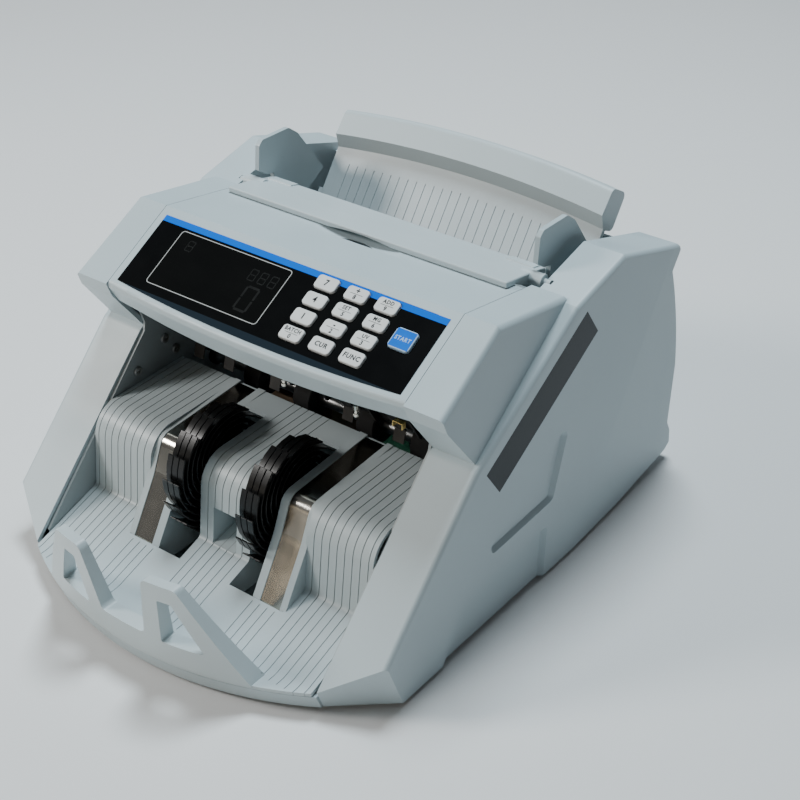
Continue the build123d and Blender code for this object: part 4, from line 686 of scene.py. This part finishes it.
def stacking_wheel(node):
    low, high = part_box(node)
    middle = (low + high) / 2
    tip_r = (high.z - low.z) / 2 - 0.6 * MM
    strip = (high.x - low.x) / 3 - LAYER_GAP
    wheel = square_to_edit()
    bpy.ops.transform.resize(value=(strip, 0.2 * MM, 1))
    pick(wheel, lambda co: co.y < 0)
    bpy.ops.transform.translate(value=spiral(0, tip_r) + Vector((0, 0.1 * MM, 0)))
    pick(wheel, lambda co: co.y < HUB_R / 2)
    bpy.ops.transform.translate(value=spiral(1, tip_r) - Vector((0, 0.1 * MM, 0)))
    for step in range(2, BLADE_STEPS + 1):
        extrude(spiral(step, tip_r) - spiral(step - 1, tip_r))
    bpy.ops.object.mode_set(mode="OBJECT")
    add_modifier(wheel, "SOLIDIFY", thickness=BLADE_T, offset=0)
    add_modifier(wheel, "BEVEL", width=0.15 * MM, segments=1, limit_method="ANGLE")
    bpy.ops.object.mode_set(mode="EDIT")
    bpy.ops.mesh.select_all(action="SELECT")
    bpy.ops.transform.translate(value=(-strip - LAYER_GAP, 0, 0))
    for _ in range(2):
        bpy.ops.mesh.duplicate_move(TRANSFORM_OT_translate={"value": (strip + LAYER_GAP, 0, 0)})
    bpy.ops.mesh.select_all(action="SELECT")
    turn = 2 * math.pi * (WHEEL_BLADES - 1) / WHEEL_BLADES
    bpy.ops.mesh.spin(steps=WHEEL_BLADES - 1, dupli=True, angle=turn,
                      center=(0, 0, 0), axis=(1, 0, 0))
    face_outwards()
    hub = wheel_hub((high.x - low.x) - 0.2 * MM)
    wheel = joined([wheel, hub])
    settle(wheel, Matrix.Translation(middle))
    smooth(wheel, 35)
    name = node.replace("impeller", "stacking_wheel")
    finish_piece(wheel, name, wheel_plastic, "stacking_wheels")
    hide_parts(node)
    return wheel


def wheel_hub(width):
    """A hub with a raised collar at each end."""
    fresh()
    bpy.ops.mesh.primitive_cylinder_add(vertices=48, radius=HUB_R + 0.8 * MM, depth=width)
    hub = bpy.context.object
    bpy.ops.object.mode_set(mode="EDIT")
    bpy.ops.mesh.select_mode(type="FACE")
    bpy.ops.mesh.select_all(action="DESELECT")
    mesh = bmesh.from_edit_mesh(hub.data)
    for face in mesh.faces:
        face.select = abs(face.normal.z) > 0.9
    bmesh.update_edit_mesh(hub.data)
    bpy.ops.mesh.inset(thickness=COLLAR_W, depth=-0.8 * MM)
    bpy.ops.object.mode_set(mode="OBJECT")
    add_modifier(hub, "BEVEL", width=0.3 * MM, segments=2, limit_method="ANGLE")
    return settle(hub, Matrix.Rotation(math.radians(90), 4, "Y"))


for node in ("left_impeller", "right_impeller"):
    wheel = stacking_wheel(node)
    print(wheel.name, len(wheel.data.polygons), "faces")

# %% [markdown]
# ## Key legends
# Most caps carry a function word over a thin rule, and the digit below it. Text in Blender is a
# curve. Turned into a mesh, it can be laid on the slope like any other piece, a few hundredths of a
# millimetre thick, as real pad printing is. Each legend rides with its own key, so it sinks when
# the key does.

# %% Printed legends
def printing_ink(name, thick, thin, rough, scale=900.0, **fixed):
    """Ink that is a little uneven."""
    made = Recipe(name, **fixed)
    fade = made.noise(made.place(), scale, detail=2.0)
    return made.finish(Base_Color=made.mix(fade, thick, thin), Roughness=rough + fade * 0.1)


legend_ink = printing_ink("legend_ink", (0.004, 0.004, 0.005), (0.014, 0.014, 0.016), 0.55,
                          Specular_IOR_Level=0.2)
pale_ink = printing_ink("pale_ink", (0.30, 0.50, 0.75), (0.40, 0.60, 0.82), 0.5)
INK = 0.03 * MM
LETTER_BOLD = 0.026
LETTER_SPACING = 1.14
LETTER_NARROW = 0.92


def printed(text, size, shift):
    """A line of text as a thin mesh, centred on shift."""
    fresh()
    bpy.ops.object.text_add(location=(0, 0, 0))
    line = bpy.context.object
    line.data.body = text
    line.data.size = size
    line.data.extrude = INK / 2
    line.data.offset = size * LETTER_BOLD
    line.data.space_character = LETTER_SPACING
    line.data.resolution_u = 2
    line.data.align_x = "CENTER"
    line.data.align_y = "CENTER"
    bpy.ops.object.convert(target="MESH")
    narrow = Matrix.Diagonal((LETTER_NARROW, 1, 1, 1))
    return settle(line, Matrix.Translation((0, shift, INK)) @ narrow)


RULE_W, RULE_T = 7.6 * MM, 0.22 * MM


def ruled(width):
    """The thin rule between word and digit."""
    rule = square_to_edit()
    bpy.ops.transform.resize(value=(width, RULE_T, 1))
    extrude((0, 0, INK))
    face_outwards()
    return settle(rule, Matrix.Translation((0, -0.1 * MM, INK / 2)))


# Letter heights: a digit alone, a word alone, a word or a sign over a digit, and the digit below.
ONE_DIGIT, ONE_WORD = 4.7 * MM, 3.7 * MM
WORD_ABOVE, SIGN_ABOVE, DIGIT_BELOW = 3.0 * MM, 4.4 * MM, 3.4 * MM
WORD_RISE, DIGIT_DROP = 1.75 * MM, -2.0 * MM
LEGENDS = {
    "key_7": ("7", None), "key_8": ("8", "+"), "key_9": ("9", "ADD"),
    "key_4": ("4", None), "key_5": ("5", "SET"), "key_6": ("6", "MG"),
    "key_1": ("1", None), "key_2": ("2", "-"), "key_3": ("3", "UV"),
    "key_0": ("0", "BATCH"), "key_cur": ("CUR", None), "key_func": ("FUNC", None),
}
for key, (main, above) in LEGENDS.items():
    if above is None:
        legend = printed(main, ONE_DIGIT if len(main) == 1 else ONE_WORD, 0.0)
    else:
        word = printed(above, WORD_ABOVE if len(above) > 1 else SIGN_ABOVE, WORD_RISE)
        numeral = printed(main, DIGIT_BELOW, DIGIT_DROP)
        legend = joined([word, numeral, ruled(RULE_W)])
    settle(legend, panel_spot(key))
    finish_piece(legend, "legend_" + key, legend_ink, key + "_cap")
START_H = 3.1 * MM
start_legend = printed("START", START_H, 0.0)
settle(start_legend, panel_spot("start_key"))
finish_piece(start_legend, "legend_start", pale_ink, "start_key_cap")
print("legends:", len(LEGENDS) + 1)

# %% [markdown]
# ## The resting display
# A liquid crystal display that is off still shows its segments faintly. Each digit is the same
# seven bars. A bar is a six-sided disc stretched by moving its upper half away from its lower half.

# %% Display segments
ghost_ink = printing_ink("ghost_segment", (0.004, 0.0045, 0.0045), (0.0085, 0.009, 0.009), 0.3,
                         scale=300.0, IOR=1.5, Specular_IOR_Level=0.3)


def segment(length, width):
    """An upright bar with pointed ends."""
    fresh()
    bpy.ops.mesh.primitive_circle_add(vertices=6, radius=width / 2, fill_type="NGON")
    bar = bpy.context.object
    bpy.ops.object.mode_set(mode="EDIT")
    pick(bar, lambda co: co.y > 0)
    bpy.ops.transform.translate(value=(0, length - width, 0))
    bpy.ops.mesh.select_all(action="SELECT")
    extrude((0, 0, INK))
    face_outwards()
    return settle(bar, Matrix.Translation((0, -(length - width) / 2, 0)))


# Column, row and turn of each bar, from the top one down.
SEVEN = [(0, 1, 90), (0, 0, 90), (0, -1, 90),
         (-1, 0.5, 0), (1, 0.5, 0), (-1, -0.5, 0), (1, -0.5, 0)]


def digit(width, height, bars):
    """One character, from some or all of the seven bars."""
    thick = height * 0.11
    pieces = []
    for index in bars:
        column, row, turn = SEVEN[index]
        long_side = (width if turn else height / 2) - thick * 0.25
        bar = segment(long_side, thick)
        at = Matrix.Translation((column * width / 2, row * height / 2, 0))
        pieces.append(settle(bar, at @ Matrix.Rotation(math.radians(turn), 4, "Z")))
    return joined(pieces)


ALL_BARS = range(7)
ZERO_BARS = (0, 2, 3, 4, 5, 6)
# Width, height, place right of and above the window's middle, in millimetres, and which bars.
DIGITS = [
    (4.0, 6.6, 18.0, 7.5, ALL_BARS), (4.0, 6.6, 24.6, 7.5, ALL_BARS),
    (4.0, 6.6, 31.2, 7.5, ALL_BARS), (7.6, 14.0, 23.5, -6.0, ZERO_BARS),
    (4.0, 6.0, -27.0, 10.0, ALL_BARS),
]
digits = []
for wide, tall, right, above, bars in DIGITS:
    piece = digit(wide * MM, tall * MM, bars)
    digits.append(settle(piece, Matrix.Translation((right * MM, above * MM, 0))))
ghosts = settle(joined(digits), WINDOW @ Matrix.Translation((0, 0, 0.02 * MM)))
finish_piece(ghosts, "display_segments", ghost_ink, "chassis")
print("digits:", len(DIGITS))

# %% [markdown]
# ## Pins and clip under the lip
# Two bright pins hang under the console's lip, and a brass clip sits at its right. A pin is a
# turned part, so it starts as a thin disc whose face is extruded and resized down its length, like
# a profile on a lathe.

# %% Turned pins
def turned(name, rings, material, at):
    """A turned piece hanging down from a point; rings are (drop, radius) in millimetres."""
    fresh()
    bpy.ops.mesh.primitive_circle_add(vertices=24, radius=rings[0][1] * MM, fill_type="NGON")
    pin = bpy.context.object
    bpy.ops.object.mode_set(mode="EDIT")
    bpy.ops.mesh.select_all(action="SELECT")
    for (drop, radius), (next_drop, next_radius) in zip(rings, rings[1:]):
        extrude((0, 0, (drop - next_drop) * MM))
        grow = next_radius / radius
        bpy.ops.transform.resize(value=(grow, grow, 1))
    face_outwards()
    add_modifier(pin, "BEVEL", width=0.12 * MM, segments=2, limit_method="ANGLE")
    settle(pin, Matrix.Translation(Vector(at) * MM))
    smooth(pin, 40)
    return finish_piece(pin, name, material, "chassis")


PIN_RINGS = [(0, 1.6), (0.01, 1.5), (2.2, 1.5), (2.4, 0.9),
             (4.4, 0.9), (4.6, 1.5), (6.2, 1.5), (6.8, 0.7)]
PIN_Y, PIN_TOP = -50.0, 119.5
bright_steel = polished_plate()
bright_steel.name = "bright_steel"
for name, x in (("left_guide_pin", 12.8), ("right_guide_pin", 58.4)):
    turned(name, PIN_RINGS, bright_steel, (x, PIN_Y, PIN_TOP))

# %% Brass clip
CLIP_W, CLIP_D, CLIP_DROP = 5.5 * MM, 3.0 * MM, 3.2 * MM
CLIP_AT = Vector((84.4, -50.0, 120.4)) * MM


def brass():
    made = Recipe("brass", Metallic=1.0)
    tone = made.noise(made.place(), scale=200.0, detail=3.0)
    return made.finish(Base_Color=made.mix(tone, (0.62, 0.42, 0.13), (0.78, 0.58, 0.24)),
                       Roughness=0.20 + tone * 0.12)


def brass_clip():
    """A folded strip: a plate whose two ends are turned down."""
    clip = square_to_edit()
    bpy.ops.transform.resize(value=(CLIP_W, CLIP_D, 1))
    for side in (-1, 1):
        pick(clip, lambda co: co.x * side > 2.0 * MM and co.z > -0.1 * MM)
        extrude((0, 0, -CLIP_DROP))
    bpy.ops.object.mode_set(mode="OBJECT")
    add_modifier(clip, "SOLIDIFY", thickness=0.5 * MM, offset=0)
    add_modifier(clip, "BEVEL", width=0.12 * MM, segments=2, limit_method="ANGLE")
    settle(clip, Matrix.Translation(CLIP_AT))
    return finish_piece(clip, "brass_clip", brass(), "chassis")


brass_clip()
print("pins and clip made")

# %% [markdown]
# ## Side badges
# Each side wears a long dark plate that leans with the body line. It is blank here. A plate is a
# rectangle whose two ends are slid along to make them slope, thickened, and bevelled at its edge.

# %% Blank side badges
def enamel():
    made = Recipe("badge_enamel", IOR=1.5, Specular_IOR_Level=0.25)
    brushed = made.noise(made.stretched(made.place(), (40.0, 700.0, 700.0)), scale=1.0, detail=2.0)
    base = made.mix(brushed, (0.0030, 0.0042, 0.0062), (0.0070, 0.0090, 0.0125))
    return made.finish(Base_Color=base, Roughness=0.30 + brushed * 0.15)


badge_enamel = enamel()
BADGE_MIDDLE = Vector((12.6, 115.7)) * MM
BADGE_SIZE = Vector((98.5, 20.2)) * MM
BADGE_LEAN = math.radians(31.4)
BADGE_SLANT = 1.6 * MM
BADGE_T = 0.5 * MM
BADGE_PROUD = 0.04 * MM


def side_badge(side):
    """The badge on the right side for 1 and on the left side for -1."""
    plate = square_to_edit()
    bpy.ops.transform.resize(value=(BADGE_SIZE.x, BADGE_SIZE.y, 1))
    pick(plate, lambda co: co.y > 0)
    bpy.ops.transform.translate(value=(-BADGE_SLANT / 2, 0, 0))
    pick(plate, lambda co: co.y < 0)
    bpy.ops.transform.translate(value=(BADGE_SLANT / 2, 0, 0))
    bpy.ops.mesh.select_all(action="SELECT")
    extrude((0, 0, BADGE_T))
    face_outwards()
    add_modifier(plate, "BEVEL", width=0.18 * MM, segments=2)
    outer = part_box("right_side_cover")[1].x * side
    lie = Matrix(((0, 0, side), (1, 0, 0), (0, 1, 0))).to_4x4()
    lean = Matrix.Rotation(BADGE_LEAN, 4, "Z")
    at = Vector((outer - side * (BADGE_T - BADGE_PROUD), BADGE_MIDDLE.x, BADGE_MIDDLE.y))
    settle(plate, Matrix.Translation(at) @ lie @ lean)
    bpy.ops.object.mode_set(mode="EDIT")
    face_outwards()
    name = ("right" if side > 0 else "left") + "_badge"
    return finish_piece(plate, name, badge_enamel, "chassis")


for side in (-1, 1):
    print(side_badge(side).name, "made")

# %% [markdown]
# ## Rating plate
# Every mains machine has a plate by its inlet. This one is blank aluminium with a thin printed
# border.

# %% Rear rating plate
PLATE_AT = Vector((14.0, 0, 40.0)) * MM
PLATE_HALF = Vector((17.0, 0, 9.0)) * MM
PLATE_T = 0.25 * MM
BORDER_OUT, BORDER_IN = 1.1 * MM, 1.6 * MM


def rating_foil():
    """Brushed aluminium; the border lies between two distances from the plate's edge."""
    made = Recipe("rating_foil", Metallic=0.85)
    place = made.place()
    grain = made.noise(made.stretched(place, (30.0, 900.0, 900.0)), scale=1.0, detail=2.0)
    x, y, z = made.axes(place)
    x, z = abs(x - PLATE_AT.x), abs(z - PLATE_AT.z)
    edge = x.over(PLATE_HALF.x - BORDER_IN).most(z.over(PLATE_HALF.z - BORDER_IN))
    core = x.under(PLATE_HALF.x - BORDER_OUT) * z.under(PLATE_HALF.z - BORDER_OUT)
    foil = made.mix(grain, (0.45, 0.46, 0.47), (0.60, 0.61, 0.62))
    foil = made.mix(edge * core, foil, (0.03, 0.03, 0.035))
    return made.finish(Base_Color=foil, Roughness=0.34 + grain * 0.14)


def rating_plate():
    plate = square_to_edit()
    bpy.ops.transform.resize(value=(2 * PLATE_HALF.x, 2 * PLATE_HALF.z, 1))
    bpy.ops.mesh.bevel(offset=1.5 * MM, segments=4, affect="VERTICES")
    bpy.ops.mesh.select_all(action="SELECT")
    extrude((0, 0, PLATE_T))
    face_outwards()
    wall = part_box("display_socket")[1].y - 0.6 * MM
    stand = Matrix(((-1, 0, 0), (0, 0, 1), (0, 1, 0))).to_4x4()
    settle(plate, Matrix.Translation((PLATE_AT.x, wall - 0.02 * MM, PLATE_AT.z)) @ stand)
    return finish_piece(plate, "rating_plate", rating_foil(), "chassis")


rating_plate()
print("pieces modelled")

# %% [markdown]
# ## Studio
# The floor is pale and plain. A slightly warm key light stands front left, and a stronger cool one
# hangs overhead, so top faces are coolest. A weak warm light low in front opens the pocket, and a
# very weak one on the right keeps that side from going black. The camera stands front right,
# looking down.

# %% Floor
def floor_paint():
    made = Recipe("studio_floor")
    tone = made.noise(made.place(), scale=3.0, detail=2.0)
    base = made.mix(tone, (0.74, 0.74, 0.74), (0.78, 0.78, 0.78))
    return made.finish(Base_Color=base, Roughness=0.9)


fresh()
bpy.ops.mesh.primitive_plane_add(size=8)
floor_piece = bpy.context.object
floor_piece.name = "studio_floor"
floor_piece.data.materials.append(floor_paint())
print("floor laid")


# %% Lights
def soft_light(name, at, aim, size, power, colour):
    """A round area light that looks at a point; power is in watts."""
    lamp = bpy.data.lights.new(name, "AREA")
    lamp.shape = "DISK"
    lamp.size = size
    lamp.energy = power
    lamp.color = colour
    holder = bpy.data.objects.new(name, lamp)
    bpy.context.scene.collection.objects.link(holder)
    holder.location = at
    holder.rotation_euler = (Vector(aim) - Vector(at)).to_track_quat("-Z", "Y").to_euler()


FOOT, BELLY = (0, 0, 0.05), (0, 0, 0.1)
WARM, WARMER = (1.0, 0.98, 0.95), (1.0, 0.86, 0.66)
COOL_RIGHT, COOL_TOP = (0.80, 0.92, 1.0), (0.80, 0.93, 1.0)
soft_light("key_light", (-1.15, -0.95, 1.0), FOOT, size=0.5, power=19, colour=WARM)
soft_light("top_light", (-0.10, 0.40, 1.6), BELLY, size=0.6, power=31, colour=COOL_TOP)
soft_light("front_fill", (-0.4, -1.6, 0.35), FOOT, size=0.8, power=4.0, colour=WARMER)
soft_light("right_fill", (1.5, -0.3, 0.8), BELLY, size=0.9, power=0.2, colour=COOL_RIGHT)
print("lights:", len(bpy.data.lights))

world = bpy.data.worlds.new("studio")
bpy.context.scene.world = world
world.use_nodes = True
sky = world.node_tree.nodes["Background"]
sky.inputs["Color"].default_value = (0.92, 0.96, 1.0, 1)
sky.inputs["Strength"].default_value = 0.10

# %% Camera
CAMERA_AT = (0.4648, -0.5475, 0.5299)
LOOK_DOWN, LOOK_LEFT = 32.41, 37.36
camera_data = bpy.data.cameras.new("camera")
camera_data.sensor_width = 36.0
camera_data.lens = 71.68
camera = bpy.data.objects.new("camera", camera_data)
bpy.context.scene.collection.objects.link(camera)
camera.location = CAMERA_AT
camera.rotation_euler = (math.radians(90 - LOOK_DOWN), 0, math.radians(LOOK_LEFT))
bpy.context.scene.camera = camera
print("camera lens:", camera_data.lens, "mm")
